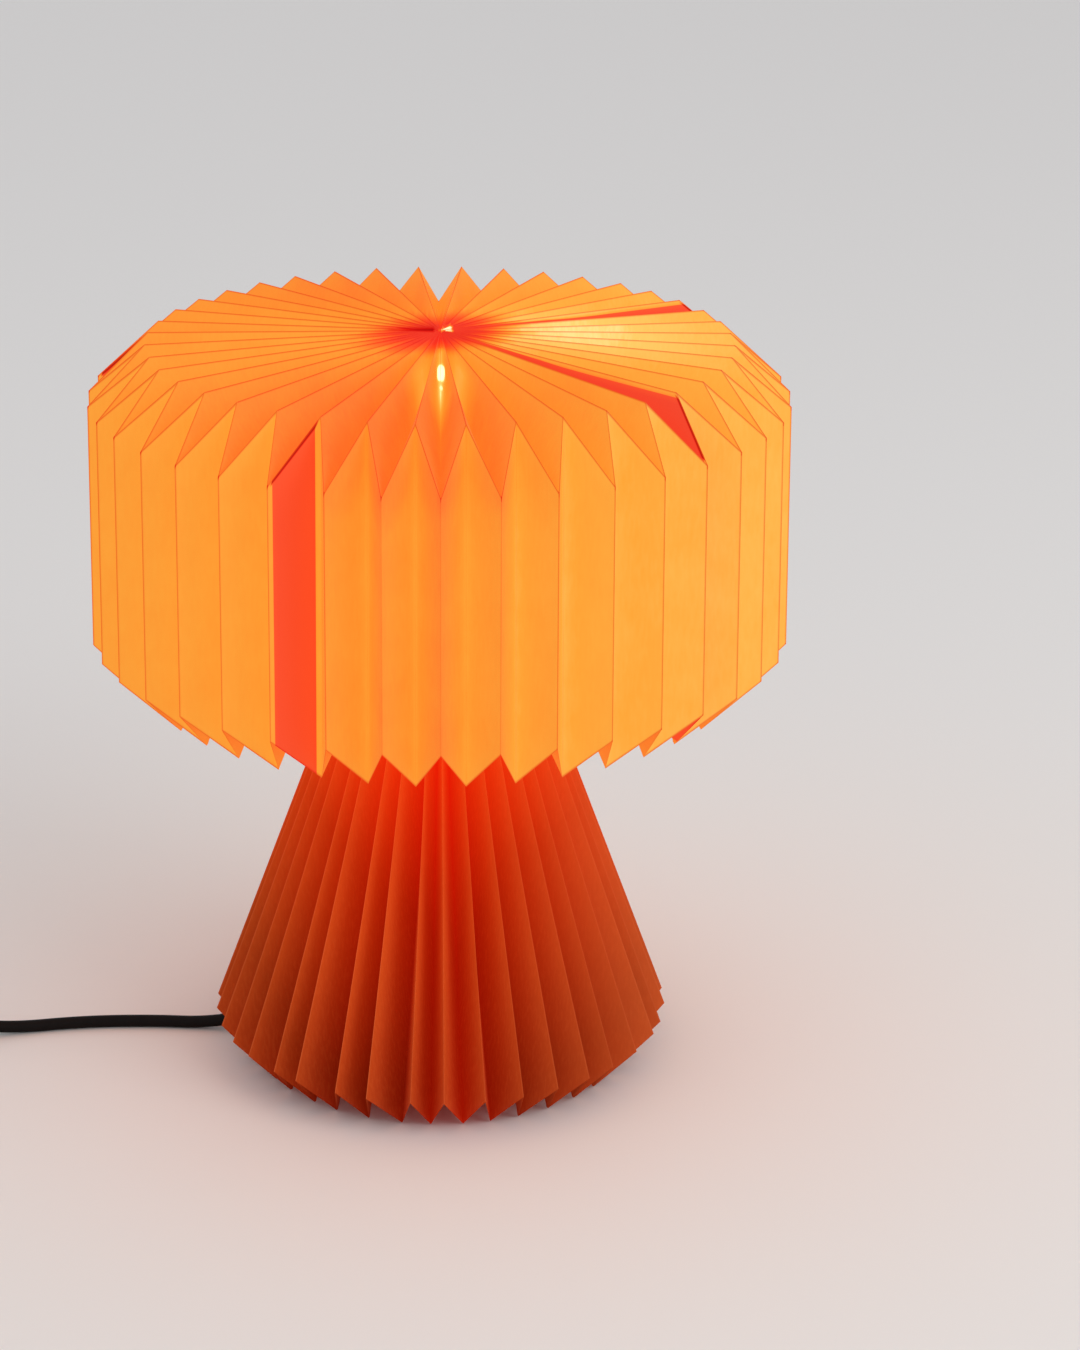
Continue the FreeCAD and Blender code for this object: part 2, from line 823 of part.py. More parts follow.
def carrier():
    """A plate clamped on the lampholder, wire arms round the bulb and a ring under the hub."""
    plate_bottom = FreeCAD.Vector(0, 0, value(FLANGE_TOP))
    plate = Part.makeCylinder(value("carrier_plate_radius"), value("carrier_plate"), plate_bottom)
    hole = Part.makeCylinder(value("holder_radius + fit"), value("carrier_plate"), plate_bottom)
    top = FreeCAD.Vector(0, 0, value(CARRIER_LEVEL))
    wire = value("wire_radius")
    shape = plate.cut(hole).fuse(Part.makeTorus(value("carrier_ring_radius"), wire, top))
    arms = count("carrier_arms")
    reach = value("carrier_reach")
    for arm in range(arms):
        azimuth = 360 * arm / arms + 180
        corners = [
            polar(value("carrier_plate_radius - wire_radius"), azimuth, value(WIRE_LEVEL)),
            polar(reach, azimuth, value(WIRE_LEVEL)),
            polar(reach, azimuth, value(CARRIER_LEVEL)),
            polar(value("carrier_ring_radius"), azimuth, value(CARRIER_LEVEL)),
        ]
        path, _ = rounded_path(corners, value("carrier_bend"))
        shape = shape.fuse(tube(path, wire))
    return shape.removeSplitter()


keep("shade_carrier", feature("Carrier", carrier()))

# Cord inside the lamp: in through the grommet, round the bend and up the stem
grommet_face = polar(value(GROMMET_FACE), value("cord_azimuth"), value("grommet_height"))
inner_route = [
    grommet_face,
    FreeCAD.Vector(0, 0, grommet_face.z),
    FreeCAD.Vector(0, 0, value(STEM_TOP)),
]
inner_path, _ = rounded_path(inner_route, value("cord_bend"))
keep("inner_cord", feature("InnerCord", tube(inner_path, CORD)))

lead_start = grommet_face + cord_axis * value("lead_start")
lead, lead_length = cord_tube("cord_lead", [grommet_face, lead_start] + vectors(LEAD_ROUTE))
keep("cord_lead", feature("CordLead", lead))
link, link_length = cord_tube("cord_link", vectors(LINK_ROUTE))
keep("cord_link", feature("CordLink", link))
tail, tail_length = cord_tube("cord_tail", vectors(TAIL_ROUTE))
keep("cord_tail", feature("CordTail", tail))

# Coil of the put-away length: it winds in on the lower layer, climbs and winds out on the upper one
COIL_START = FreeCAD.Vector(*LINK_ROUTE[-1]) - FreeCAD.Vector(2 * CORD, 0, 0)
COIL_CENTRE = COIL_START - FreeCAD.Vector(0, value("coil_radius"), 0)
TURN = 2 * math.pi
WOUND = TURN * value("coil_turns")
CLIMB = math.pi


def coil_point(angle):
    """A point of the coil at a winding angle from its start."""
    pitch = value("coil_pitch") / TURN
    inner_radius = value("coil_radius") - pitch * WOUND
    if angle <= WOUND:
        radius, height = value("coil_radius") - pitch * angle, 0
    elif angle <= WOUND + CLIMB:
        part = angle - WOUND
        radius = inner_radius - pitch * (part - part * part / CLIMB)
        height = (1 - math.cos(math.pi * part / CLIMB)) / 2
    else:
        radius, height = inner_radius + pitch * (angle - WOUND - CLIMB), 1
    way = FreeCAD.Vector(-math.sin(angle), math.cos(angle), 0)
    return COIL_CENTRE + way * radius + FreeCAD.Vector(0, 0, height * value("coil_layer"))


def coil_heading(angle):
    nudge = 1e-5
    return (coil_point(angle + nudge) - coil_point(angle - nudge)).normalize()


def arc_from(start, heading, end):
    """The arc that leaves start along heading and ends at end."""
    chord = end - start
    across = chord - heading * chord.dot(heading)
    across.normalize()
    bend = chord.dot(chord) / (2 * chord.dot(across))
    centre = start + across * bend
    middle = centre + ((start - centre) + (end - centre)).normalize() * bend
    return Part.Arc(start, middle, end).toShape()


def biarc(start, heading, end, way):
    """Two arcs that share a tangent, from start along heading to end along way."""
    gap = end - start
    both = heading + way
    square = 2 * (1 - heading.dot(way))
    half = gap.dot(both)
    reach = (-half + math.sqrt(half * half + square * gap.dot(gap))) / square
    joint = (start + heading * reach + end - way * reach) * 0.5
    last = arc_from(end, way * -1, joint)
    middle = last.valueAt((last.FirstParameter + last.LastParameter) / 2)
    return [arc_from(start, heading, joint), Part.Arc(joint, middle, end).toShape()]


coil_end = 2 * WOUND + CLIMB
quarters = int(round(coil_end / (TURN / 4)))
angles = [coil_end * quarter / quarters for quarter in range(quarters + 1)]
knots = [coil_point(angle) for angle in angles]
headings = [coil_heading(angle) for angle in angles]
headings[0] = FreeCAD.Vector(-1, 0, 0)
headings[-1] = FreeCAD.Vector(1, 0, 0)
pieces = [Part.LineSegment(FreeCAD.Vector(*LINK_ROUTE[-1]), knots[0]).toShape()]
for index in range(quarters):
    pieces += biarc(knots[index], headings[index], knots[index + 1], headings[index + 1])
coil_exit = knots[-1] + headings[-1] * (2 * CORD)
pieces.append(Part.LineSegment(knots[-1], coil_exit).toShape())
coil_path = Part.Wire(pieces)
keep("cord_coil", feature("CordCoil", tube(coil_path, CORD)))

# Least gap of the coil to itself, between points at least half the inner turn apart
samples = coil_path.discretize(Number=900)
spacing = coil_path.Length / (len(samples) - 1)
apart = int(math.pi * (value("coil_radius") - value("coil_pitch") * value("coil_turns")) / spacing)
least = min(
    (samples[first] - samples[second]).Length
    for first in range(len(samples))
    for second in range(first + apart, len(samples))
)
print(f"cord_coil: length {coil_path.Length:.1f}, least gap to itself {least - 2 * CORD:.2f}")

# Tie round the coil's far side
tie_slack = "2 * fit"
tie_inside = f"coil_radius - coil_pitch * (coil_turns + 0.25) - cord_radius - {tie_slack}"
tie_outside = f"coil_radius + cord_radius + {tie_slack}"
TIE_FLOOR = LINK_ROUTE[-1][2] - CORD - value(tie_slack)
tie_opening = f"({tie_outside}) - ({tie_inside})"
tie_rise = f"coil_layer + 2 * cord_radius + 2 * {tie_slack}"
tie_far = f"{COIL_CENTRE.x} - ({tie_outside})"
TIE_SIDE = f"{COIL_CENTRE.y} - tie_width / 2"
tie_hole = box("TieHole", tie_opening, "tie_width", tie_rise, x=tie_far, y=TIE_SIDE, z=TIE_FLOOR)
tie_band = box(
    "TieBand",
    f"{tie_opening} + 2 * tie_thickness",
    "tie_width",
    f"{tie_rise} + 2 * tie_thickness",
    x=f"{tie_far} - tie_thickness",
    y=TIE_SIDE,
    z=f"{TIE_FLOOR} - tie_thickness",
)
keep("cord_tie", cut("Tie", tie_band, tie_hole))

# Cord switch, lying along X between the lead and the link
SWITCH_NEAR = LEAD_ROUTE[-1][0]
SWITCH_Y = LEAD_ROUTE[-1][1]
SWITCH_X = f"{SWITCH_NEAR} - switch_length"
SWITCH_MIDDLE = f"{SWITCH_NEAR} - switch_length / 2"
SWITCH_SIDE = f"{SWITCH_Y} - switch_width / 2"
WELL_SIDE = f"{SWITCH_Y} - switch_well / 2"
well_length = "2 * rocker_radius + 2 * seat"


def across_switch(name, radius, length, height):
    """A cylinder across the switch, through the middle of its length."""
    return lying_cylinder(
        name,
        radius,
        length,
        FreeCAD.Vector(0, 1, 0),
        x=SWITCH_MIDDLE,
        y=f"{SWITCH_Y} - ({length}) / 2",
        z=height,
    )


def screw_places():
    return [f"{SWITCH_MIDDLE} + {side} * screw_offset" for side in (-1, 1)]


def screw_forms(name, slack, length):
    """Two screws from below, or their holes when slack is added."""
    forms = []
    for number, place in enumerate(screw_places(), start=1):
        label = f"{name}{number}"
        spot = {"x": place, "y": SWITCH_Y, "z": "fit"}
        head = cylinder(label + "_head", f"screw_head + {slack}", f"screw_head_height + {slack}", **spot)
        shank = cylinder(label + "_shank", f"screw_shank + {slack}", length, **spot)
        forms.append(fuse(label, head, shank))
    return forms


lower_block = rounded_block(
    "LowerBlock", "switch_length", "switch_width", "switch_split", "switch_round", x=SWITCH_X, y=SWITCH_SIDE
)
lower_well = box(
    "LowerWell",
    "blade_length + 2 * seat",
    "switch_well",
    "switch_split",
    x=f"{SWITCH_MIDDLE} - blade_length / 2 - seat",
    y=WELL_SIDE,
    z="switch_wall",
)
lower_holes = screw_forms("LowerHole", "fit", "switch_height")
keep("switch_lower_shell", cut("LowerShell", lower_block, lower_well, *lower_holes))

upper_block = rounded_block(
    "UpperBlock",
    "switch_length",
    "switch_width",
    "switch_height - switch_split",
    "switch_round",
    x=SWITCH_X,
    y=SWITCH_SIDE,
    z="switch_split",
)
upper_well = box(
    "UpperWell",
    well_length,
    "switch_well",
    "switch_height",
    x=f"{SWITCH_MIDDLE} - ({well_length}) / 2",
    y=WELL_SIDE,
    z="switch_split",
)
pin_hole = across_switch("PinHole", "rocker_pin_radius + fit", "rocker_pin_length + 2 * seat", "rocker_axis")
upper_holes = screw_forms("UpperHole", "fit", "screw_length + seat")
keep("switch_upper_shell", cut("UpperShell", upper_block, upper_well, pin_hole, *upper_holes))
keep("switch_screws", group("SwitchScrews", *screw_forms("SwitchScrew", "0 * fit", "screw_length")))

blades = []
for number, side in enumerate((-1, 1), start=1):
    blades.append(
        box(
            f"Blade{number}",
            "blade_length / 2 - seat",
            "blade_width",
            "blade_thickness",
            x=f"{SWITCH_MIDDLE} + {side} * blade_length / 4 - blade_length / 4 + seat / 2",
            y=f"{SWITCH_Y} - blade_width / 2",
            z="switch_wall",
        )
    )
keep("switch_contacts", group("SwitchContacts", *blades))

# Rocker: a drum under a flat top, tilted to its on side, on a pin across the switch
drum = across_switch("RockerDrum", "rocker_radius", "rocker_width", "0 * rocker_axis")
flat = box(
    "RockerFlat",
    "2 * rocker_radius",
    "rocker_width",
    "rocker_radius + rocker_top",
    x=f"{SWITCH_MIDDLE} - rocker_radius",
    y=f"{SWITCH_Y} - rocker_width / 2",
    z="0 - rocker_radius",
)
rocker_blank = doc.addObject("Part::Common", "RockerBlank")
rocker_blank.Base = drum
rocker_blank.Tool = flat
rocker_bore = across_switch("RockerBore", "rocker_pin_radius + fit / 4", "rocker_width", "0 * rocker_axis")
rocker = cut("Rocker", rocker_blank, rocker_bore)
doc.recompute()
pivot = FreeCAD.Vector(value(SWITCH_MIDDLE), SWITCH_Y, 0)
tilt = FreeCAD.Placement(
    FreeCAD.Vector(0, 0, value("rocker_axis")),
    FreeCAD.Rotation(FreeCAD.Vector(0, 1, 0), value("rocker_tilt")),
    pivot,
)
rocker.Placement = tilt
keep("switch_rocker", rocker)
keep("rocker_pin", across_switch("RockerPin", "rocker_pin_radius", "rocker_pin_length", "rocker_axis"))

# Plug at the end of the tail, lying flat with its pins along +X
PLUG_END = FreeCAD.Vector(*TAIL_ROUTE[-1])
ALONG_X = FreeCAD.Vector(1, 0, 0)
PLUG_BACK = f"{PLUG_END.x} + sleeve_length"
PLUG_FRONT = f"{PLUG_BACK} + plug_length"
sleeve = doc.addObject("Part::Cone", "Sleeve")
bind(sleeve, Radius1="cord_radius + sleeve_lip", Radius2="sleeve_radius", Height="sleeve_length")
bind(sleeve, x=PLUG_END.x, y=PLUG_END.y, z=PLUG_END.z)
sleeve.Placement.Rotation = FreeCAD.Rotation(FreeCAD.Vector(0, 0, 1), ALONG_X)
keep("plug_sleeve", sleeve)
plug_block = rounded_block(
    "PlugBlock",
    "plug_length",
    "plug_width",
    "plug_thickness",
    "plug_round",
    x=PLUG_BACK,
    y=f"{PLUG_END.y} - plug_width / 2",
    z=f"{PLUG_END.z} - plug_thickness / 2",
)


def along_pins(name, radius, length, start):
    """Two round bars on the pins' axes."""
    return [
        lying_cylinder(
            f"{name}{number}",
            radius,
            length,
            ALONG_X,
            x=f"{PLUG_FRONT} + {start}",
            y=f"{PLUG_END.y} + {side} * pin_spacing / 2",
            z=PLUG_END.z,
        )
        for number, side in enumerate((-1, 1), start=1)
    ]


# The pins have an insulated shank, a little thinner than their bare ends
pin_seats = along_pins("PinSeat", "pin_sleeve_radius", "pin_root", "-pin_root")
pin_shanks = along_pins("PinShank", "pin_sleeve_radius", "pin_root + pin_sleeve_length", "-pin_root")
pin_ends = along_pins("PinEnd", "pin_radius", "pin_length - pin_sleeve_length", "pin_sleeve_length")
pins = [fuse(f"PlugPin{number}", *parts) for number, parts in enumerate(zip(pin_shanks, pin_ends), start=1)]
keep("plug_body", cut("PlugBody", plug_block, *pin_seats))
keep("plug_pins", group("PlugPins", *pins))

total = lead_length + value("switch_length") + link_length + coil_path.Length + tail_length
print(f"cord outside the lamp: {total:.0f}")

doc.recompute()
for item in doc.Objects:
    if "Invalid" in item.State or "Error" in item.State:
        raise RuntimeError(f"{item.Label} failed: {item.State}")
for label, item in nodes.items():
    if item.Shape.isNull() or not item.Shape.isValid():
        raise RuntimeError(f"{label} has no valid shape")

os.makedirs("parts", exist_ok=True)
for label, item in nodes.items():
    item.Shape.exportStep(f"parts/{label}.step")
print(f"{len(nodes)} sub-parts written")
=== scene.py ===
import math

import bmesh
import bpy
import numpy as np
from mathutils import Matrix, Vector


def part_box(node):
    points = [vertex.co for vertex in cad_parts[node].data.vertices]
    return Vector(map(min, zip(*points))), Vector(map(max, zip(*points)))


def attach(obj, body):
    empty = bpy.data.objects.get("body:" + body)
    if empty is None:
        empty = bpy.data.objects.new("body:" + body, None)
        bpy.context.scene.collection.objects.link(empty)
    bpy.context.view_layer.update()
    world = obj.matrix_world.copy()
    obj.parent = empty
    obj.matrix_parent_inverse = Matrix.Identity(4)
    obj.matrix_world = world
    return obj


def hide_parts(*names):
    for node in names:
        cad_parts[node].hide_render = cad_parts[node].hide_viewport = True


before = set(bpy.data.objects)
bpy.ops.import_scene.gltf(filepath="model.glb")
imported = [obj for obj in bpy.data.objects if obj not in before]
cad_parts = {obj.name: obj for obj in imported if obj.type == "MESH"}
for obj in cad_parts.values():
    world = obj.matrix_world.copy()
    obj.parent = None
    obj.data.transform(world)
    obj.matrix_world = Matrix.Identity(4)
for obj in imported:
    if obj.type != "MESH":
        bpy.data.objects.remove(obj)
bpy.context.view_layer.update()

# Soft pad and pressed steel pan at the bottom of the foot.
# The pad is dark foam rubber, the pan is deep-drawn steel with a black powder coat,
# and both are clamped on the stem together with a plain steel weight.

MM = 0.001


def srgb(red, green, blue):
    """A colour from its screen values of 0 to 255, as linear light with full alpha."""
    share = np.array([red, green, blue]) / 255
    light = np.where(share <= 0.04045, share / 12.92, ((share + 0.055) / 1.055) ** 2.4)
    return (*light.tolist(), 1.0)


def add(tree, kind, inputs=None, **settings):
    """A node with its settings; each input is a number, a colour or another node's output."""
    made = tree.nodes.new(kind)
    for key, setting in settings.items():
        setattr(made, key, setting)
    for key, given in (inputs or {}).items():
        if isinstance(given, bpy.types.NodeSocket):
            tree.links.new(given, made.inputs[key])
        else:
            made.inputs[key].default_value = given
    return made


def new_material(name, **sockets):
    """A material with a single Principled shader, and its constant sockets set."""
    material = bpy.data.materials.new(name)
    material.use_nodes = True
    shader = material.node_tree.nodes["Principled BSDF"]
    for key, given in sockets.items():
        shader.inputs[key.replace("_", " ")].default_value = given
    return material, material.node_tree, shader


def places(tree, scale=(1, 1, 1)):
    """Places on the piece in metres, times a scale along each axis."""
    place = add(tree, "ShaderNodeTexCoord").outputs["Object"]
    return add(tree, "ShaderNodeMapping", {"Vector": place, "Scale": scale}).outputs["Vector"]


def noise(tree, place, grain, detail):
    """Noise of so many grains per metre, from 0 to 1."""
    inputs = {"Vector": place, "Scale": grain, "Detail": detail}
    return add(tree, "ShaderNodeTexNoise", inputs).outputs["Fac"]


def mixed(tree, share, first, second, blend="MIX", kind="RGBA"):
    """A colour or a number that goes from the first to the second as the share rises."""
    inputs = {"Factor": share, "A": first, "B": second}
    made = add(tree, "ShaderNodeMix", inputs, data_type=kind, blend_type=blend)
    return made.outputs["Result"]


def rescaled(tree, level, low, high, start=0.0, end=1.0):
    """A number that goes straight from low to high while the level goes from start to end."""
    inputs = {"Value": level, "From Min": start, "From Max": end, "To Min": low, "To Max": high}
    return add(tree, "ShaderNodeMapRange", inputs).outputs["Result"]


def bumps(tree, pattern, strength, depth):
    """The normals of a surface raised by a pattern, so many metres deep."""
    inputs = {"Height": pattern, "Strength": strength, "Distance": depth}
    return add(tree, "ShaderNodeBump", inputs).outputs["Normal"]


def mottled(name, dark, light, grain, rough, bump, stretch=(1, 1, 1), **sockets):
    """Colour and roughness that wander between two values with a noise of so many grains
    per metre, and a finer noise of the same kind as bumps."""
    material, tree, shader = new_material(name, **sockets)
    place = places(tree, stretch)
    coarse = noise(tree, place, grain, 5.0)
    fine = noise(tree, place, 6 * grain, 3.0)
    tree.links.new(mixed(tree, coarse, dark, light), shader.inputs["Base Color"])
    tree.links.new(rescaled(tree, fine, *rough), shader.inputs["Roughness"])
    tree.links.new(bumps(tree, fine, bump, 0.0004), shader.inputs["Normal"])
    return material


def dress(material, *nodes):
    """Gives CAD nodes that stay as they are their finish."""
    for node in nodes:
        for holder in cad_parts[node].material_slots:
            holder.material = material


foam_rubber = mottled("foam_rubber", srgb(30, 29, 28), srgb(52, 50, 48), 400, (0.8, 0.95), 0.5)
powder_coat = mottled(
    "powder_coat", srgb(22, 21, 21), srgb(36, 35, 34), 260, (0.45, 0.6), 0.25, Metallic=0.2
)
raw_steel = mottled(
    "raw_steel", srgb(120, 122, 126), srgb(176, 178, 180), 120, (0.35, 0.55), 0.2, Metallic=1.0
)
soft_rubber = mottled("soft_rubber", srgb(14, 13, 13), srgb(26, 24, 23), 300, (0.6, 0.75), 0.3)
dress(foam_rubber, "bottom_pad")
dress(powder_coat, "base_pan")
dress(raw_steel, "weight_disc")
dress(soft_rubber, "cord_grommet")

# Stem: a threaded steel tube with hexagon nuts and washers, zinc plated.
# A black moulded collar at its top centres the paper cone.

plated = mottled(
    "zinc_plated", srgb(150, 148, 142), srgb(198, 196, 188), 90, (0.22, 0.4), 0.15, (1, 1, 0.2),
    Metallic=1.0,
)
moulded_black = mottled(
    "moulded_black", srgb(12, 11, 11), srgb(24, 23, 22), 220, (0.42, 0.58), 0.18,
    Specular_IOR_Level=0.3,
)
dress(plated, "stem_tube", "stem_nuts", "stem_washers")
dress(moulded_black, "cone_collar")

# Foot: two pleated sheets of red-orange paper, glued edge to edge into a cone of narrow pleats.
# The cut lower edge zigzags down to the table, and the light above soaks into the upper folds.

FOOT_SHEETS = 2
FOOT_PLEATS = 19
# Azimuth of the first ridge and the step from ridge to ridge, in degrees
FOOT_TURN = 1.0
FOOT_STEP = 360 / (FOOT_SHEETS * FOOT_PLEATS)
# Radius and height, in millimetres, of the lower and upper end of the fold lines
FOOT_RIDGE = ((102.2, 19.7), (43.4, 180.0))
FOOT_VALLEY = ((84.8, 0.5), (17.4, 180.0))
FOOT_THICKNESS = 1.1


def fold_columns(insides):
    """Places across a run of facets: each facet from one fold, at a whole number, to the next,
    with its own given places inside it."""
    return np.concatenate([*(fold + inside for fold, inside in enumerate(insides)), [len(insides)]])


def zigzag(columns):
    """How far each column is from an even fold towards an odd one, from 0 to 1."""
    return 1 - np.abs(1 - np.mod(columns, 2))


def points_at(x, y, z):
    """Points in metres from coordinates in millimetres, spread to one shape."""
    return np.stack(np.broadcast_arrays(x, y, z), axis=-1) * MM


def polar(radius, azimuth, height):
    """Points in metres at radii, azimuths in degrees from the front, and heights."""
    angle = np.radians(azimuth)
    return points_at(radius * np.sin(angle), -radius * np.cos(angle), height)


def between(start, end, share):
    """The start, and so much of the way to the end."""
    return start + (end - start) * share


def shell_mesh(grids):
    """A closed shell for each pair of outer and inner grids of points (row, column, xyz): a face
    per cell on both, and a strip round the edge. Turned outwards by the sign of its volume."""
    points = []
    faces = []
    total = 0
    for outer, inner in grids:
        rows, columns = outer.shape[:2]
        index = np.arange(rows * columns).reshape(rows, columns)
        cell = np.stack([index[:-1, :-1], index[:-1, 1:], index[1:, 1:], index[1:, :-1]], axis=-1)
        cell = cell.reshape(-1, 4)
        edge = np.concatenate([index[0, :-1], index[:-1, -1], index[-1, :0:-1], index[:0:-1, 0]])
        ahead = np.roll(edge, -1)
        back = rows * columns
        strip = np.stack([edge + back, ahead + back, ahead, edge], axis=-1)
        quads = np.concatenate([cell, cell[:, ::-1] + back, strip])
        corners = np.concatenate([outer.reshape(-1, 3), inner.reshape(-1, 3)])
        a, b, c, d = (corners[quads[:, place]] for place in range(4))
        volume = np.sum(np.cross(a, b) * c) + np.sum(np.cross(a, c) * d)
        faces.append((quads if volume > 0 else quads[:, ::-1]) + total)
        points.append(corners)
        total += len(corners)
    mesh = bpy.data.meshes.new("shell")
    mesh.from_pydata(np.concatenate(points), [], np.concatenate(faces))
    mesh.shade_smooth()
    mesh.set_sharp_from_angle(angle=math.radians(20))
    return mesh


def set_values(mesh, name, values):
    """A number for each point, for a material to read."""
    layer = mesh.attributes.new(name, "FLOAT", "POINT")
    layer.data.foreach_set("value", np.ascontiguousarray(values, dtype=np.float32).ravel())


def twice(values):
    """The same values for the outer and the inner side of a shell."""
    return np.concatenate([values.ravel(), values.ravel()])


def piece(name, mesh, material, body, slot, *nodes):
    """An object of the lamp: it rides on a body, takes a finish and stands for CAD nodes; slot is not
    used.
    """
    mesh.name = name
    made = bpy.data.objects.new(name, mesh)
    bpy.context.scene.collection.objects.link(made)
    mesh.materials.append(material)
    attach(made, body)
    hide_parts(*nodes)
    return made


def ramp(tree, level, stops):
    """A colour that runs straight from stop to stop of (place, colour) as the level rises."""
    made = add(tree, "ShaderNodeValToRGB", {"Fac": level})
    elements = made.color_ramp.elements
    elements[0].color = (*stops[0][1], 1)
    elements[1].color = (*stops[-1][1], 1)
    for place, colour in stops[1:-1]:
        elements.new(place).color = (*colour, 1)
    return made.outputs["Color"]


def point_value(tree, name):
    """A number that the mesh holds for each point."""
    return add(tree, "ShaderNodeAttribute", attribute_name=name).outputs["Fac"]


def combined(tree, operation, first, second):
    """Two numbers put together by an operation."""
    return add(tree, "ShaderNodeMath", {0: first, 1: second}, operation=operation).outputs["Value"]


def foot_paper():
    """Dull orange on the ridges and deep red in the folds, a painted shade, with light soaking in
    from the top; ridges have a thin paler line, part wear and part painted highlight, the +X side
    is painted paler, and fibres run along the pleats."""
    material, tree, shader = new_material(
        "foot_paper", Roughness=0.85, Specular_IOR_Level=0.15, Emission_Strength=0.62
    )
    fibres = noise(tree, places(tree, (1, 1, 0.25)), 900.0, 4.0)
    clouds = noise(tree, places(tree), 45.0, 3.0)
    depth = point_value(tree, "outward")
    warm = point_value(tree, "glow")
    fold_shade = mixed(tree, depth, srgb(138, 9, 0), srgb(194, 84, 26))
    cloudy = mixed(tree, rescaled(tree, clouds, 0, 0.22), fold_shade, srgb(140, 36, 8))
    fibrous = mixed(tree, rescaled(tree, fibres, 0, 0.18, 0.45, 0.8), cloudy, srgb(222, 112, 50))
    # Painted highlight, part wear: ridges get a thin paler line, and the +X side is painted paler
    highlight_and_wear = combined(tree, "MULTIPLY", point_value(tree, "crease"), 0.55)
    paper = mixed(tree, highlight_and_wear, fibrous, srgb(214, 112, 62))
    inside = [(0.0, (0.11, 0.006, 0.0)), (0.45, (0.40, 0.008, 0.0)), (1.0, (1.25, 0.022, 0.002))]
    outside = [(0.0, (0.11, 0.008, 0.0)), (0.45, (0.40, 0.018, 0.0)), (1.0, (1.25, 0.08, 0.008))]
    lit = mixed(tree, depth, ramp(tree, warm, inside), ramp(tree, warm, outside))
    tree.links.new(paper, shader.inputs["Base Color"])
    tree.links.new(lit, shader.inputs["Emission Color"])
    tree.links.new(bumps(tree, fibres, 0.12, 0.0003), shader.inputs["Normal"])
    return material


foot_finish = foot_paper()
foot_folds = 2 * FOOT_SHEETS * FOOT_PLEATS
foot_wander = np.random.default_rng(19).normal(0, 0.08, foot_folds)
foot_across = np.array([0, 0.03, 0.12, 0.3, 0.5, 0.7, 0.88, 0.97])
foot_up = np.concatenate([[0, 0.006, 0.03], np.linspace(0.08, 1, 24)])


def foot_line(fold):
    """Fold lines of the foot from bottom to top: a straight ridge at each even fold and a straight
    valley at each odd one, with azimuths that wander a little from even steps."""
    rise = foot_up[:, None]
    radius, height = (
        np.where(fold % 2 == 0, between(*ridge, rise), between(*valley, rise))
        for ridge, valley in zip(zip(*FOOT_RIDGE), zip(*FOOT_VALLEY))
    )
    azimuth = FOOT_TURN + (fold / 2 + foot_wander[fold % foot_folds]) * FOOT_STEP
    return polar(radius, azimuth, height)


def facets(line, first, columns):
    """Flat facets: each column's points are mixed in space between the fold lines on its sides."""
    start = np.minimum(np.floor(columns), columns[-1] - 1).astype(int)
    part = (columns - start)[None, :, None]
    return between(line(first + start), line(first + start + 1), part)


for number in range(FOOT_SHEETS):
    first_fold = 2 * FOOT_PLEATS * number
    columns = fold_columns([foot_across] * (2 * FOOT_PLEATS))
    outer = facets(foot_line, first_fold, columns)
    away = outer[..., :2] / np.linalg.norm(outer[..., :2], axis=-1, keepdims=True)
    inner = outer.copy()
    inner[..., :2] -= away * FOOT_THICKNESS * MM
    mesh = shell_mesh([(outer, inner)])
    height = outer[..., 2] / (FOOT_RIDGE[1][1] * MM)
    # Painted shade: the folds are deep red, and below two fifths of the height the ridges redden too
    outward = (1 - zigzag(columns)) * np.clip(0.6 + height, 0, 1)
    # Painted light: the +X side is duller and more even where the light falls on it, and red light
    # fills the low folds in front
    side = away[..., 0]
    dull = np.clip(1.3 * side - 0.3, 0, 1)
    outward = between(outward, 0.85, 0.8 * dull)
    front = np.exp(-(((side - 0.08) / 0.24) ** 2)) * (away[..., 1] < 0)
    glow = np.clip((height - 0.08) / 0.92, 0, 1) * (1 - 0.25 * outward)
    glow += 0.42 * front * (1 - height) ** 2 * (1 - outward)
    # Painted shade: the lower parts of the -X side, and less of the +X side, glow less
    glow -= np.clip(1.5 - 1.5 * height, 0, 1) * (0.22 * np.clip(-2 * side - 1, 0, 1) + 0.12 * dull)
    # Painted highlight, part wear: pale lines on the ridges, and the +X side painted paler
    crease = np.maximum(np.where(columns % 2 == 0, 1.0, 0.0), 0.45 * dull)
    set_values(mesh, "outward", twice(outward))
    set_values(mesh, "crease", twice(crease))
    set_values(mesh, "glow", twice(glow))
    name = f"foot_paper_{number + 1}"
    piece(name, mesh, foot_finish, "stand", "paper_foot", f"foot_sheet_{number + 1}")

# Lampholder: a cap and a shell moulded in ivory plastic, screwed on the stem's end, with a knurled
# ring that clamps the carrier's plate. A porcelain insert holds the brass thread and contact.


def parabolas(start, corner, end, steps):
    """For each corner, points of the parabola from its start to its end that both head for it."""
    share = np.linspace(0, 1, steps)[None, :, None]
    curve = (1 - share) ** 2 * start[:, None] + 2 * share * (1 - share) * corner[:, None]
    return (curve + share**2 * end[:, None]).reshape(-1, corner.shape[1])


def softened(corners, radius):
    """A closed line of (radius, height) corners, in millimetres, with each corner rounded by a
    parabola that starts so far before it and ends so far after it."""
    corner = np.array(corners, float)
    ways = [np.roll(corner, shift, axis=0) - corner for shift in (1, -1)]
    room = [np.linalg.norm(way, axis=1, keepdims=True) for way in ways]
    reach = np.minimum(radius, 0.45 * np.minimum(*room))
    start, end = (corner + way / length * reach for way, length in zip(ways, room))
    return parabolas(start, corner, end, 5)


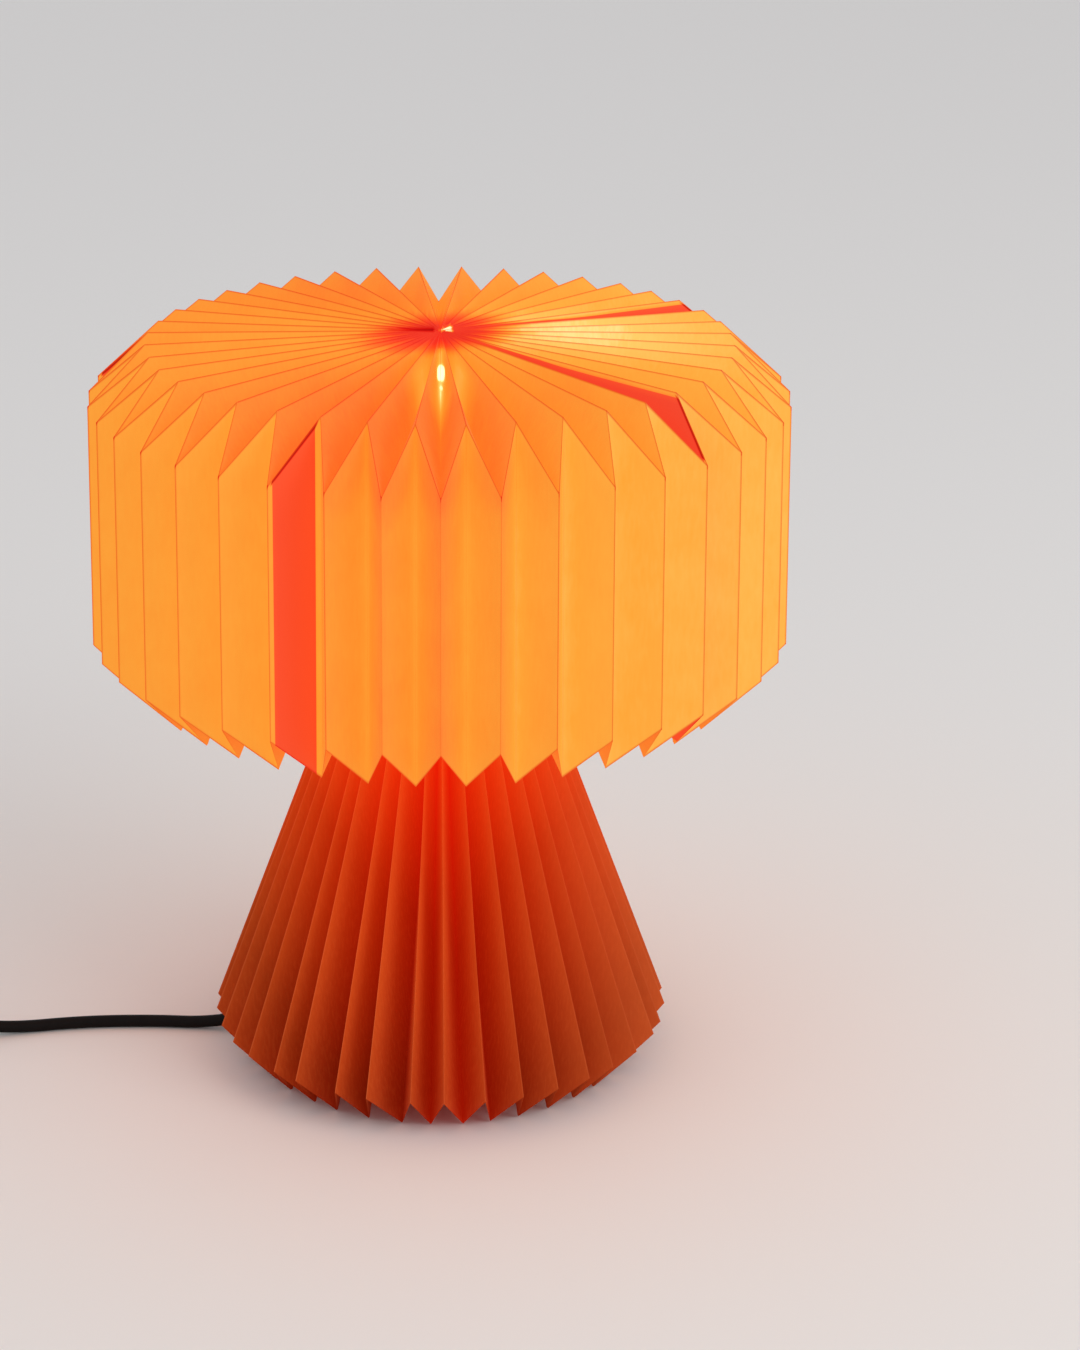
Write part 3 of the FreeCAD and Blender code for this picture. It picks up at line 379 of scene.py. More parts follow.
def closed_mesh(points, faces, angle=35):
    """A mesh whose doubled points are merged, which closes its seams and poles, with its faces
    turned outwards."""
    mesh = bpy.data.meshes.new("closed")
    mesh.from_pydata(points, [], faces)
    work = bmesh.new()
    work.from_mesh(mesh)
    bmesh.ops.remove_doubles(work, verts=work.verts, dist=1e-7)
    bmesh.ops.dissolve_degenerate(work, edges=work.edges, dist=1e-7)
    bmesh.ops.recalc_face_normals(work, faces=work.faces)
    work.to_mesh(mesh)
    work.free()
    mesh.shade_smooth()
    mesh.set_sharp_from_angle(angle=math.radians(angle))
    return mesh


def grid_faces(rows, columns, first=0):
    """Faces of a grid of points that closes on itself across its columns and along its rows."""
    index = first + np.arange(rows * columns).reshape(rows, columns)
    right = np.roll(index, -1, axis=1)
    up = np.roll(index, -1, axis=0)
    corner = np.roll(right, -1, axis=0)
    return np.stack([index, right, corner, up], axis=-1).reshape(-1, 4)


def turned(outline, around=96, waves=0, wave=0.0, lead=0.0):
    """A closed outline of (radius, height) in millimetres, turned about Z. The radius may swell by
    wave, so many waves per turn, which also climb by lead millimetres a turn as a thread does."""
    outline = np.asarray(outline)
    angle = np.linspace(0, 2 * np.pi, around, endpoint=False)[None, :]
    radius = outline[:, 0:1]
    height = outline[:, 1:2]
    phase = waves * angle - (2 * np.pi * height / lead if lead else 0)
    radius = radius + np.where(radius > 0, wave, 0) * np.cos(phase)
    points = points_at(radius * np.cos(angle), radius * np.sin(angle), height)
    return closed_mesh(points.reshape(-1, 3), grid_faces(*points.shape[:2]))


ivory_moulding = mottled(
    "ivory_moulding", srgb(214, 208, 196), srgb(232, 228, 218), 180, (0.32, 0.46), 0.12
)
porcelain = mottled("porcelain", srgb(222, 219, 210), srgb(240, 238, 232), 70, (0.12, 0.22), 0.08)
brass = mottled(
    "thread_brass", srgb(150, 116, 58), srgb(206, 170, 98), 110, (0.22, 0.42), 0.15, Metallic=1.0
)
# Outlines as (radius, height) in millimetres
cap_outline = [
    (5.2, 183), (10, 183), (14, 189), (14, 200.9), (12.4, 200.9), (12.4, 192.2), (10.8, 191),
    (5.2, 191),
]
shell_outline = [
    (12.4, 201), (14, 201), (14, 215), (17, 215), (17, 217), (14, 217), (14, 235), (12.4, 235),
]
ring_outline = [(14.2, 219.1), (19.1, 219.1), (19.1, 225.1), (14.2, 225.1)]
holder_cap = turned(softened(cap_outline, 0.9))
holder_shell = turned(softened(shell_outline, 0.6))
knurled_ring = turned(softened(ring_outline, 0.7), around=288, waves=36, wave=0.35)
piece("holder_cap_moulding", holder_cap, ivory_moulding, "stand", "holder_plastic", "holder_cap")
piece("holder_shell_moulding", holder_shell, ivory_moulding, "stand", "holder_plastic", "holder_shell")
piece(
    "holder_ring_knurled", knurled_ring, ivory_moulding, "holder_ring", "holder_plastic",
    "holder_ring",
)
dress(porcelain, "holder_insert")
dress(brass, "holder_thread", "holder_contact")

# Bulb: a globe of blown opal glass on a rolled screw cap, plated, that turns in the lampholder.
# It is lit, and the glass glows evenly, so its inner mount and filaments hardly show.

# Sizes and heights in millimetres
GLOBE_RADIUS = 22.5
GLOBE_MIDDLE = 260.8
GLASS = 0.8
THREAD_LEAD = 2.82


def lit_glass():
    """Opal glass that sends out warm light, a little weaker towards its neck."""
    material, tree, shader = new_material("opal_glass", Roughness=0.25, Emission_Strength=6.0)
    place = places(tree)
    height = add(tree, "ShaderNodeSeparateXYZ", {"Vector": place}).outputs["Z"]
    above_neck = rescaled(tree, height, 0, 1, 0.238, 0.262)
    warm = mixed(tree, above_neck, (0.9, 0.42, 0.12, 1), (1.0, 0.72, 0.36, 1))
    milky = mixed(tree, noise(tree, place, 120.0, 2.0), srgb(240, 222, 190), srgb(250, 240, 222))
    tree.links.new(milky, shader.inputs["Base Color"])
    tree.links.new(warm, shader.inputs["Emission Color"])
    return material


def globe_line(radius):
    """A circle's (radius, height) points from the globe's top, on the axis, down to its neck."""
    angle = np.radians(np.linspace(90, -65, 40))
    line = np.stack([radius * np.cos(angle), GLOBE_MIDDLE + radius * np.sin(angle)], axis=1)
    line[0, 0] = 0
    return line


neck_line = np.array([(9.45, 239.4), (9.4, 238.2), (9.4, 237.0), (8.6, 237.0), (8.6, 239.8)])
inner_line = globe_line(GLOBE_RADIUS - GLASS)[::-1]
globe = turned(np.concatenate([globe_line(GLOBE_RADIUS), neck_line, inner_line]))
piece("bulb_globe", globe, lit_glass(), "bulb", "bulb_glass", "bulb_glass")
thread_levels = np.linspace(216, 231.5, 60)
screw_outline = np.concatenate([
    [(0, 215.0), (5.4, 215.0), (6.3, 215.4)],
    np.stack([np.full(60, 6.6), thread_levels], axis=1),
    [(6.7, 232.0), (9.1, 235.0), (9.4, 235.6), (9.4, 237.0), (8.7, 237.0), (8.7, 235.4)],
    [(6.1, 232.0), (6.1, 215.8), (0, 215.8)],
])
screw_cap = turned(screw_outline, waves=1, wave=0.3, lead=THREAD_LEAD)
piece("bulb_screw_cap", screw_cap, plated, "bulb", "nickel", "bulb_cap")
dress(porcelain, "bulb_insulator")
dress(brass, "bulb_tip")
mount_glass = mottled("mount_glass", srgb(206, 212, 212), srgb(228, 232, 230), 60, (0.05, 0.12), 0.05)
dress(mount_glass, "bulb_mount")
glowing_wire = mottled(
    "glowing_filament", srgb(255, 190, 96), srgb(255, 214, 140), 500, (0.4, 0.6), 0.2,
    Emission_Color=(1.0, 0.7, 0.3, 1), Emission_Strength=8.0,
)
dress(glowing_wire, "bulb_filaments")

# Carrier: a punched steel plate under the holder's ring, with bent wire arms round the bulb that
# end in a welded ring. The shade's hub rests on that ring. It is powder coated.


def along(path, radius, around=16):
    """A round wire along points in metres, as a tube: a circle square to the path at each point,
    carried by the path's own plane, with both ends closed to a pole."""
    path = np.asarray(path)
    heading = np.gradient(path, axis=0)
    heading /= np.linalg.norm(heading, axis=1, keepdims=True)
    side = np.cross(path[-1] - path[0], path[len(path) // 2] - path[0])
    side = side / np.linalg.norm(side)
    other = np.cross(heading, side)
    angle = np.linspace(0, 2 * np.pi, around, endpoint=False)
    circle = np.cos(angle)[None, :, None] * side + np.sin(angle)[None, :, None] * other[:, None]
    body = path[:, None] + radius * circle
    ends = [np.repeat(path[place][None, None], around, axis=1) for place in (0, -1)]
    return np.concatenate([ends[0], body, ends[1]])


def bent(corners, radius):
    """Straight runs in millimetres with parabolic bends that start and end radius from a corner."""
    corner = np.array(corners, float)
    inside = corner[1:-1]
    ways = [near - inside for near in (corner[:-2], corner[2:])]
    start, end = (inside + way / np.linalg.norm(way, axis=1, keepdims=True) * radius for way in ways)
    return np.concatenate([corner[:1], parabolas(start, inside, end, 10), corner[-1:]])


def joined(grids, angle=35):
    """One closed mesh from several grids of points, each closed across its columns."""
    points = []
    faces = []
    total = 0
    for grid in grids:
        rows, columns = grid.shape[:2]
        points.append(grid.reshape(-1, 3))
        faces.append(grid_faces(rows, columns, total))
        total += rows * columns
    return closed_mesh(np.concatenate(points), np.concatenate(faces), angle)


def round_z(line):
    """A closed line of (radius, height), in millimetres, carried once round Z as a grid of points."""
    lap = np.linspace(0, 2 * np.pi, 72, endpoint=False)[:, None]
    radius, height = line.T
    return points_at(radius * np.cos(lap), radius * np.sin(lap), height)


WIRE_RADIUS = 1.5
RING_RADIUS = 20.0
RING_HEIGHT = 300.4
arm_line = bent([(21.5, 218.0), (38.0, 218.0), (38.0, RING_HEIGHT), (RING_RADIUS, RING_HEIGHT)], 9.0)
arms = [
    along(polar(arm_line[:, 0], turn, arm_line[:, 1]), WIRE_RADIUS * MM) for turn in (180, 300, 60)
]
wire_angle = np.linspace(0, 2 * np.pi, 16, endpoint=False)
wire_circle = WIRE_RADIUS * np.stack([np.cos(wire_angle), np.sin(wire_angle)], axis=1)
top_ring = round_z(wire_circle + (RING_RADIUS, RING_HEIGHT))
plate = round_z(softened([(14.2, 217.0), (23.0, 217.0), (23.0, 219.0), (14.2, 219.0)], 0.4))
carrier = joined([*arms, top_ring, plate])
piece("carrier_wire", carrier, powder_coat, "stand", "pan", "shade_carrier")

# Shade: five pleated sheets of pale orange paper, glued side over side, with the folds pushed in
# at the shoulder and at the rim. A ring of brown card under the hub takes their weight.

SHADE_SHEETS = 5
SHEET_PLEATS = 8
FIRST_RIDGE = -3
SHADE_STEP = 360 / (SHADE_SHEETS * SHEET_PLEATS)
SHADE_TURN = 0.2
# Radius and height in millimetres, from the hub over shoulder and rim to the flap's end
RIDGE_LINE = [(2.2, 307.7), (150.0, 307.7), (151.5, 201.2), (127.0, 203.2)]
VALLEY_LINE = [(2.2, 334.5), (125.1, 330.8), (128.6, 178.6), (128.1, 179.3)]
# How far the inner side lies inwards and down at those four places
PAPER_IN = [0.0, 0.8, 0.8, 0.0]
PAPER_DOWN = [1.6, 0.8, -0.8, -0.8]


def shade_paper():
    """Paper with the lamp's light in it: a ramp from deep red to pale yellow by how much light
    comes through, redder where two layers lie together, with fold lines darkened as painted shade,
    and fibres. The base colour takes the same ramp, so the light is painted into it too."""
    material, tree, shader = new_material(
        "shade_paper", Roughness=0.9, Specular_IOR_Level=0.1, Emission_Strength=0.7
    )
    fibres = noise(tree, places(tree, (1, 1, 0.2)), 700.0, 5.0)
    clouds = noise(tree, places(tree), 60.0, 4.0)
    change = combined(
        tree, "ADD", rescaled(tree, fibres, -0.03, 0.03), rescaled(tree, clouds, -0.035, 0.035)
    )
    uneven = combined(tree, "ADD", point_value(tree, "gleam"), change)
    doubled = rescaled(tree, point_value(tree, "doubled"), 0, 1, -0.004, 0.004)
    level = mixed(tree, doubled, uneven, rescaled(tree, uneven, 0.03, 0.2), kind="FLOAT")
    warm = [
        (0.0, (0.86, 0.026, 0.018)),
        (0.18, (1.0, 0.080, 0.015)),
        (0.32, (1.0, 0.168, 0.018)),
        (0.48, (0.98, 0.314, 0.025)),
        (0.62, (1.0, 0.429, 0.044)),
        (0.78, (0.99, 0.638, 0.144)),
        (1.0, (1.6, 1.45, 0.85)),
    ]
    shadow = [
        (0.0, (1.0, 1.0, 1.0)),
        (0.5, (0.83, 0.235, 0.27)),
        (0.6, (0.8, 0.1, 0.14)),
        (1.0, (0.22, 0.02, 0.03)),
    ]
    shine = ramp(tree, level, warm)
    line = ramp(tree, combined(tree, "MULTIPLY", point_value(tree, "crease"), 0.5), shadow)
    # The base colour is the light ramp paled and dimmed: painted light, darkened by the fold lines'
    # painted shade
    pale = mixed(tree, 0.32, shine, (0.95, 0.40, 0.16, 1))
    dimmed = mixed(tree, 0.64, pale, (0, 0, 0, 1))
    glow_painted_surface = mixed(tree, 1.0, dimmed, line, "MULTIPLY")
    lined = mixed(tree, 1.0, shine, line, "MULTIPLY")
    tree.links.new(glow_painted_surface, shader.inputs["Base Color"])
    tree.links.new(lined, shader.inputs["Emission Color"])
    tree.links.new(bumps(tree, fibres, 0.1, 0.0003), shader.inputs["Normal"])
    return material


shade_finish = shade_paper()
folds_in_all = 2 * SHADE_SHEETS * SHEET_PLEATS
fold_wander = np.random.default_rng(8).normal(0, 1, (2, folds_in_all))
# Columns inside a facet, closer by its folds, and rows along the fold lines, closer at the bends:
# a row's whole number is its straight run, from the crown over the wall to the flap
across = np.concatenate([[0, 0.03, 0.06], np.linspace(0.1, 0.9, 11), [0.97]])
finer = np.concatenate([[0, 0.015, 0.03, 0.06], np.linspace(0.09, 0.91, 36), [0.94, 0.97]])
hub_rows = np.linspace(0, 0.2, 21)
crown_rows = np.array([0.23, 0.27, 0.33, 0.42, 0.52, 0.62, 0.72, 0.82, 0.91, 0.972, 0.985, 0.9925])
wall_rows = np.concatenate([[0, 0.0095, 0.018, 0.04], np.linspace(0.1, 0.9, 9), [0.97, 0.9915]])
flap_rows = np.array([0, 0.035, 0.3, 0.65, 1.0])
profile_rows = np.concatenate([hub_rows, crown_rows, 1 + wall_rows, 2 + flap_rows])


def fold_points(rows, fold):
    """Where the fold lines of the shade lie: an even fold follows the ridge line and an odd one
    the valley line, each a chain of straight runs, at its own azimuth that wanders a little."""
    stations = np.arange(4)
    lines = [np.array(line) for line in (RIDGE_LINE, VALLEY_LINE)]
    even = fold % 2 == 0
    shape = [
        np.where(even, *(np.interp(rows, stations, line[:, axis])[:, None] for line in lines))
        for axis in (0, 1)
    ]
    wander = fold_wander[:, fold % folds_in_all]
    radius = shape[0] - np.clip(rows, 0, 1)[:, None] * np.abs(wander[1]) * 0.3
    azimuth = SHADE_TURN + fold / 2 * SHADE_STEP + wander[0] * 0.1
    return polar(radius, np.broadcast_to(azimuth, radius.shape), shape[1])


def shade_grid(rows, columns, first_fold, sunk=0.0):
    """Outer and inner points of the facets: the inner side is the outer one moved in and down by
    the paper's thickness."""
    outer = facets(lambda fold: fold_points(rows, fold), first_fold, columns)
    away = outer[..., :2] / np.linalg.norm(outer[..., :2], axis=-1, keepdims=True)
    stations = np.arange(4)
    inwards = np.interp(rows, stations, PAPER_IN)[:, None, None] * MM
    down = np.interp(rows, stations, PAPER_DOWN)[:, None] * MM

    def moved(times):
        """The outer points, so many thicknesses farther in and down."""
        side = outer.copy()
        side[..., :2] -= away * inwards * times
        side[..., 2] -= down * times
        return side

    return moved(sunk), moved(sunk + 1)


HUB_TOP = VALLEY_LINE[0][1]
GROOVE_FLOOR = RIDGE_LINE[0][1]
SIGHT_SLOPE = 0.272


def above_hub(y, z):
    """Height above the hub's top as the eye sees it from the front, in millimetres: what lies
    farther back looks higher by the slope of the line of sight."""
    return z - HUB_TOP + SIGHT_SLOPE * y


def light_through(points, rows, fold):
    """How much light comes through, from 0 to 1. The wall is dimmest in front and brighter to both
    sides, most towards +X, and beside its valleys; the crown is dim in front, bright at +X, and red
    round the hub. Light leaks out of the front groove, and beside the hub's middle."""
    valley = zigzag(fold)
    x, y, z = (points[..., axis] / MM for axis in range(3))
    radius = np.hypot(x, y)
    azimuth = np.degrees(np.arctan2(x, -y))
    station = np.broadcast_to(rows[:, None], radius.shape)
    turns = [-180, -100, -60, -32, -13, 3, 13, 23, 34, 45, 65, 110, 180]
    levels = [0.6, 0.55, 0.55, 0.54, 0.49, 0.5, 0.56, 0.59, 0.62, 0.65, 0.67, 0.65, 0.6]
    wall = np.interp(azimuth, turns, levels) + 0.02 * valley - 0.02 * np.abs(z - 255) / 75
    spread = np.interp(azimuth, [0, 5, 14, 24, 60], [0.1, 0.22, 0.22, 0.2, 0.1])
    wall = wall + 0.085 * np.exp(-(1 - valley) / spread)
    # In front a facet dims towards its ridge, and more so if it faces away from the middle
    front = np.clip((25 - np.abs(azimuth)) / 11, 0, 1)
    outward = (np.mod(fold, 2) >= 1) == (azimuth < 0)
    wall = wall - front * (1 - valley) * np.where(outward, 0.1, 0.05)
    wall = wall - 0.07 * front * np.clip((z - 296) / 10, 0, 1)

    def spot(at_x, at_y, size_x, size_y):
        """A soft spot that is 1 at its middle and falls off as a bell over its two sizes."""
        return np.exp(-((x - at_x) ** 2 / size_x**2 + (y - at_y) ** 2 / size_y**2) / 2)

    rightward = np.clip(x / 110, 0, 1)
    crown = 0.48 + 0.15 * rightward**2 * (3 - 2 * rightward) + 0.06 * spot(-52, 12, 32, 30)
    crown = crown + 0.29 * spot(42, 8, 42, 29) * np.clip(x / 25, 0, 1)
    facing = np.clip(1.6 - np.abs(azimuth - 4) / 45, 0, 1) * np.clip(radius / 60 - 0.3, 0, 1)
    lighter = np.exp(-(((azimuth - 24) / 12) ** 2)) * np.clip(radius / 60 - 0.3, 0, 1)
    crown = crown - 0.14 * facing + 0.08 * lighter - 0.09 * spot(-36, 84, 34, 30)
    crown = crown + 0.07 * np.exp(-valley / 0.2) * np.clip(1.4 - radius / 100, 0, 1)
    # Heights as the eye sees them from the front, above the hub's top and the groove's floor
    top = above_hub(y, z)
    seen = top + HUB_TOP - GROOVE_FLOOR
    rays = 0.14 * np.sin(np.radians(azimuth) * 14 + 1)
    reach = np.hypot((x + 0.5) / 26, (top + 1.1 - 0.085 * x) / 6.6) + rays
    red = np.clip((1.42 - reach) / 0.85, 0, 1)
    crown = crown * (1 - red) + 0.03 * red
    turn = np.abs(azimuth - SHADE_TURN)
    halo = np.exp(-((x / 5) ** 2)) * np.exp(-(((seen + 1) / 8) ** 2))
    streak = np.exp(-((x / 1.3) ** 2)) * np.clip((seen + 15) / 14, 0, 1) * (seen < 19)
    slit = np.clip(2.6 - 1.8 * np.hypot((x - 0.2) / 1.6, ((seen - 8.2) / 3.7) ** 2), 0, 1)
    dot = np.clip(2.0 - np.hypot((x - 0.3) / 0.6, (seen - 1.7) / 0.8), 0, 1)
    groove = crown + 0.12 * halo + 0.2 * streak
    groove = np.maximum(groove, np.maximum(slit, 0.95 * dot))
    crown = np.where((turn < 4.55) & (radius < 80), groove, crown)
    beside = np.minimum(0.21, 0.9 * (1 - valley)) * np.exp(-(((radius - 40) / 16) ** 2))
    crown = crown + np.where((turn > 9) & (turn < 13.5), beside, 0)
    leak = 0.23 * (x + 1.3) - np.abs(top - 0.11 * (x + 1.3))
    crown = np.maximum(crown, np.clip(np.minimum(leak / 0.18, (5.2 - x) / 0.6), 0, 1))
    flap = 0.36 + 0.05 * valley
    return np.where(station < 1, crown, np.where(station <= 2, wall, flap))


def fold_lines(points, rows, columns, first_fold):
    """How much painted shade darkens each point along the folds: crests of the crown and ridges
    of the wall are plain lines, fainter at the wall's front, wall valleys faint, shoulder and rim
    edges plain. The painted shadows at cut edges and in the gap at the hub's left are darkest."""
    fold = first_fold + columns
    ridge = np.where(np.mod(fold, 2) == 0, 1.0, 0.0)
    valley = np.where(np.mod(fold, 2) == 1, 1.0, 0.0)
    crown_row = (rows < 1)[:, None]
    plain = 0.35 + 0.5 * np.clip(np.abs(fold) / 2 - 1, 0, 1)
    line = np.where(crown_row, 0.95 * valley, plain * ridge + 0.15 * valley)
    line = np.maximum(line, (np.abs(rows - 1) < 1e-9)[:, None] * 1.0)
    line = np.maximum(line, (np.abs(rows - 2) < 1e-9)[:, None] * 0.9)
    # Ridges get their darkest painted shade where they turn over the shoulder
    line = np.maximum(line, (np.abs(rows - 1) < 0.01)[:, None] * ridge * 1.35)
    # The two layers of a sheet's first facet end in cut edges at both sides of the shoulder;
    # the edges are painted as a dark line of shadow
    cut = (np.abs(rows - 1.001) < 0.009)[:, None] & (rows != 1)[:, None]
    line = np.maximum(line, np.where(cut & (columns > 0.08) & (columns < 0.92), 1.75, 0))
    x, y, z = (points[..., axis] / MM for axis in range(3))
    line = line * np.clip(np.hypot(x, y) / 20, 0.35, 1)
    # A dark wedge of painted shadow fills the gap at the hub's left
    top = above_hub(y, z)
    gap = np.clip(1.2 - np.abs(top - 0.2) / np.clip(1.6 + x / 17, 0.12, None), 0, 1)
    dark = 1.6 * gap * np.clip((x + 25) / 4, 0, 1) * np.clip(-x - 2, 0, 1)
    return np.maximum(line, np.where(crown_row, dark, 0))


def two_layers(rows, columns):
    """How far inside the glued seam a point lies, in shares of a facet. A sheet's first facet lies
    over the last one's tab, but for a margin at its folds that widens from the hub outwards."""
    on_crown = 1 - np.interp(rows, [0, 0.25, 0.55], [0, 0.03, 0.085]) - columns
    on_wall = np.minimum(columns - 0.1, 0.9 - columns)
    across_folds = np.interp(rows, [0.985, 0.9925, 1, 1.0095, 1.018], [0.05, 0, -0.05, 0, 0.05])
    return np.minimum(np.where(rows < 1, on_crown, on_wall), across_folds)


for number in range(SHADE_SHEETS):
    first_fold = 2 * (FIRST_RIDGE + number * SHEET_PLEATS)
    middles = first_fold + np.arange(2 * SHEET_PLEATS) + 0.5
    columns = fold_columns([finer if abs(middle) < 1 else across for middle in middles])
    outer, inner = shade_grid(profile_rows, columns, first_fold)
    tab_rows = 1 + wall_rows[1:]
    tab_columns = np.concatenate([across, [1]])
    tab_fold = first_fold + 2 * SHEET_PLEATS
    tab_outer, tab_inner = shade_grid(tab_rows, tab_columns, tab_fold, 1.15)
    mesh = shell_mesh([(outer, inner), (tab_outer, tab_inner)])
    seam = two_layers(profile_rows[:, None], columns)
    layered = np.where(profile_rows[:, None] < 1, 0.05, 0.3 + 0.45 * columns)
    gleam = light_through(outer, profile_rows, first_fold + columns)
    gleam = between(gleam, layered, np.clip(seam / 0.05, 0, 1))
    tab_gleam = light_through(tab_outer, tab_rows, tab_fold + tab_columns)
    set_values(mesh, "gleam", np.concatenate([twice(gleam), twice(tab_gleam)]))
    line = fold_lines(outer, profile_rows, columns, first_fold)
    set_values(mesh, "crease", np.concatenate([twice(line), np.zeros(2 * tab_gleam.size)]))
    set_values(mesh, "doubled", np.concatenate([twice(seam), np.full(2 * tab_gleam.size, -1.0)]))
    name = f"shade_paper_{number + 1}"
    piece(name, mesh, shade_finish, "shade", "paper_shade", f"shade_sheet_{number + 1}")

brown_card = mottled("brown_card", srgb(150, 118, 84), srgb(186, 154, 116), 240, (0.85, 0.95), 0.4)
card_line = softened([(8.0, 302.1), (22.0, 302.1), (22.0, 303.6), (8.0, 303.6)], 0.3)
piece("hub_card", turned(card_line, 72), brown_card, "shade", "card", "hub_card_ring")

# Cord: round black mains lead, 5.6 mm thick. Inside, it runs from the grommet up through the stem;
# outside, it leaves the foot under a pleat, lies on the table and ends in the cord switch.

CORD = 5.6 * MM


def cord_curve(route):
    """A smooth round cord: a NURBS line of third order on the route's points, in metres."""
    curve = bpy.data.curves.new("cord", "CURVE")
    curve.dimensions = "3D"
    line = curve.splines.new("NURBS")
    line.points.add(len(route) - 1)
    line.points.foreach_set("co", np.column_stack([route, np.ones(len(route))]).ravel())
    line.order_u = 3
    line.use_endpoint_u = True
    line.resolution_u = 8
    curve.bevel_depth = CORD / 2
    curve.bevel_resolution = 5
    curve.use_fill_caps = True
    return curve


lead_rubber = mottled(
    "lead_rubber", srgb(9, 6, 5), srgb(20, 15, 13), 330, (0.5, 0.66), 0.2, Specular_IOR_Level=0.12
)
inner_route = np.array([(-0.0679, 0.0054, 0.008), (0, 0, 0.008), (0, 0, 0.030), (0, 0, 0.1905)])
piece("cord_in_stem", cord_curve(inner_route), lead_rubber, "stand", "cord", "inner_cord")
lead_route = np.array([
    (-0.06809, 0.00536, 0.0080),
    (-0.08603, 0.00677, 0.0080),
    (-0.1080, 0.0090, 0.00285),
    (-0.1320, 0.0114, 0.00285),
    (-0.1650, 0.0106, 0.00285),
    (-0.1980, 0.0040, 0.00285),
    (-0.2190, -0.0010, 0.0082),
    (-0.2400, -0.0010, 0.0082),
])
lead = piece("cord_lead_line", cord_curve(lead_route), lead_rubber, "stand", "cord", "cord_lead")

# Cord switch: two screwed shells of black plastic with a rocker on a steel pin between them.
# The shells are rounded all over; the rocker is dished, with grip bars on its far end.

# Places in millimetres, tilt in degrees
SWITCH_MIDDLE = (-271.0, -1.0)
ROCKER_AXIS = 13.0
ROCKER_TILT = 10
LOOP_POINTS = 64


def rounded_loop(length, width, corner):
    """Points round a rectangle with rounded corners, in millimetres, from +X anticlockwise: the
    corner circles' points moved out to the corners of the smaller rectangle."""
    angle = (np.arange(LOOP_POINTS) + 0.5) * 2 * np.pi / LOOP_POINTS
    across_way = np.cos(angle)
    up_way = np.sin(angle)
    x = corner * across_way + np.sign(across_way) * (length / 2 - corner)
    y = corner * up_way + np.sign(up_way) * (width / 2 - corner)
    return np.stack([x, y], axis=1)


def stacked(layers, close=True):
    """Rounded rectangles of (length, width, corner, height), one above another round the switch's
    middle, as a grid; the ends close to a point when asked, or else the last meets the first."""
    rows = []
    for length, width, corner, height in layers:
        loop = rounded_loop(length, width, corner) + SWITCH_MIDDLE
        rows.append(points_at(*loop.T, height))
    if close:
        ends = [points_at(*SWITCH_MIDDLE, layers[place][3]) for place in (0, -1)]
        bottom, top = (np.tile(end, (LOOP_POINTS, 1)) for end in ends)
        rows = [bottom, *rows, top]
    return np.stack(rows)


# Length, width, corner and height of each layer, in millimetres
lower_layers = [
    (58, 21, 3.0, 0.0), (60, 23, 3.4, 0.3), (61.4, 24.4, 3.8, 1.2), (62, 25, 4, 2.4),
    (62, 25, 4, 7.7), (61.6, 24.6, 3.8, 8.0), (61.0, 24.0, 3.6, 8.15),
]
upper_layers = [
    (61.0, 24.0, 3.6, 8.25), (61.6, 24.6, 3.8, 8.4), (62, 25, 4, 8.7), (62, 25, 4, 12.6),
    (61.4, 24.4, 4, 14.4), (59.6, 22.6, 4, 15.7), (57.0, 20.0, 4, 16.3), (54.0, 17.4, 3.6, 16.4),
    (20.0, 13.0, 1.2, 16.4), (19.2, 12.2, 1.0, 16.1), (19.0, 12.0, 1.0, 15.6),
    (19.0, 12.0, 1.0, 8.25),
]
lower_shell = piece(
    "switch_bottom_half", joined([stacked(lower_layers)]),
    moulded_black, "stand", "black_plastic", "switch_lower_shell",
)
upper_shell = piece(
    "switch_top_half", joined([stacked(upper_layers, close=False)]),
    moulded_black, "stand", "black_plastic", "switch_upper_shell",
)


def rocker_grid():
    """The rocker's side outline, an arc below and a dished top with three bars, carried across its
    width and drawn in a little at both sides, then tilted about its pin to the on side."""
    top_x = np.linspace(7.9, -7.9, 60)
    bars = 0.35 * np.sum([np.exp(-(((top_x - at) / 0.45) ** 2)) for at in (-6.0, -4.4, -2.8)], axis=0)
    top_z = 4.25 - 0.5 * np.cos(np.pi * top_x / 16) + bars
    low = np.radians(np.linspace(180 - 27, 360 + 27, 50))
    outline = np.concatenate([
        np.stack([top_x, top_z], axis=1),
        np.stack([9.0 * np.cos(low), 9.0 * np.sin(low)], axis=1),
    ])
    half = np.array([(-5.5, 0.0), (-5.5, 0.93), (-5.3, 0.985), (-4.9, 1.0)])
    sides = np.concatenate([half, half[::-1] * (-1, 1)])
    x = outline[:, 0] * sides[:, 1:2]
    z = outline[:, 1] * sides[:, 1:2]
    cosine = math.cos(math.radians(ROCKER_TILT))
    sine = math.sin(math.radians(ROCKER_TILT))
    return points_at(
        x * cosine + z * sine + SWITCH_MIDDLE[0],
        sides[:, 0:1] + SWITCH_MIDDLE[1],
        z * cosine - x * sine + ROCKER_AXIS,
    )


rocker_plastic = mottled(
    "rocker_plastic", srgb(20, 19, 19), srgb(34, 33, 32), 260, (0.3, 0.42), 0.1, Specular_IOR_Level=0.35
)
rocker = piece(
    "switch_rocker_bar", joined([rocker_grid()]), rocker_plastic, "rocker", "black_plastic",
    "switch_rocker",
)
dress(plated, "switch_screws", "rocker_pin")
dress(brass, "switch_contacts")

# Rest of the cord: the same black lead, out of the switch and into a neat coil of two layers, wound
# in below and out above, held by a flat plastic tie, and then to the plug.

COIL_MIDDLE = (-0.3696, -0.0440)
COIL_RADIUS = 42 * MM
COIL_PITCH = 6.3 * MM
COIL_TURNS = 3.5
COIL_LEVELS = (4.05 * MM, 10.25 * MM)
COIL_POINTS = 24


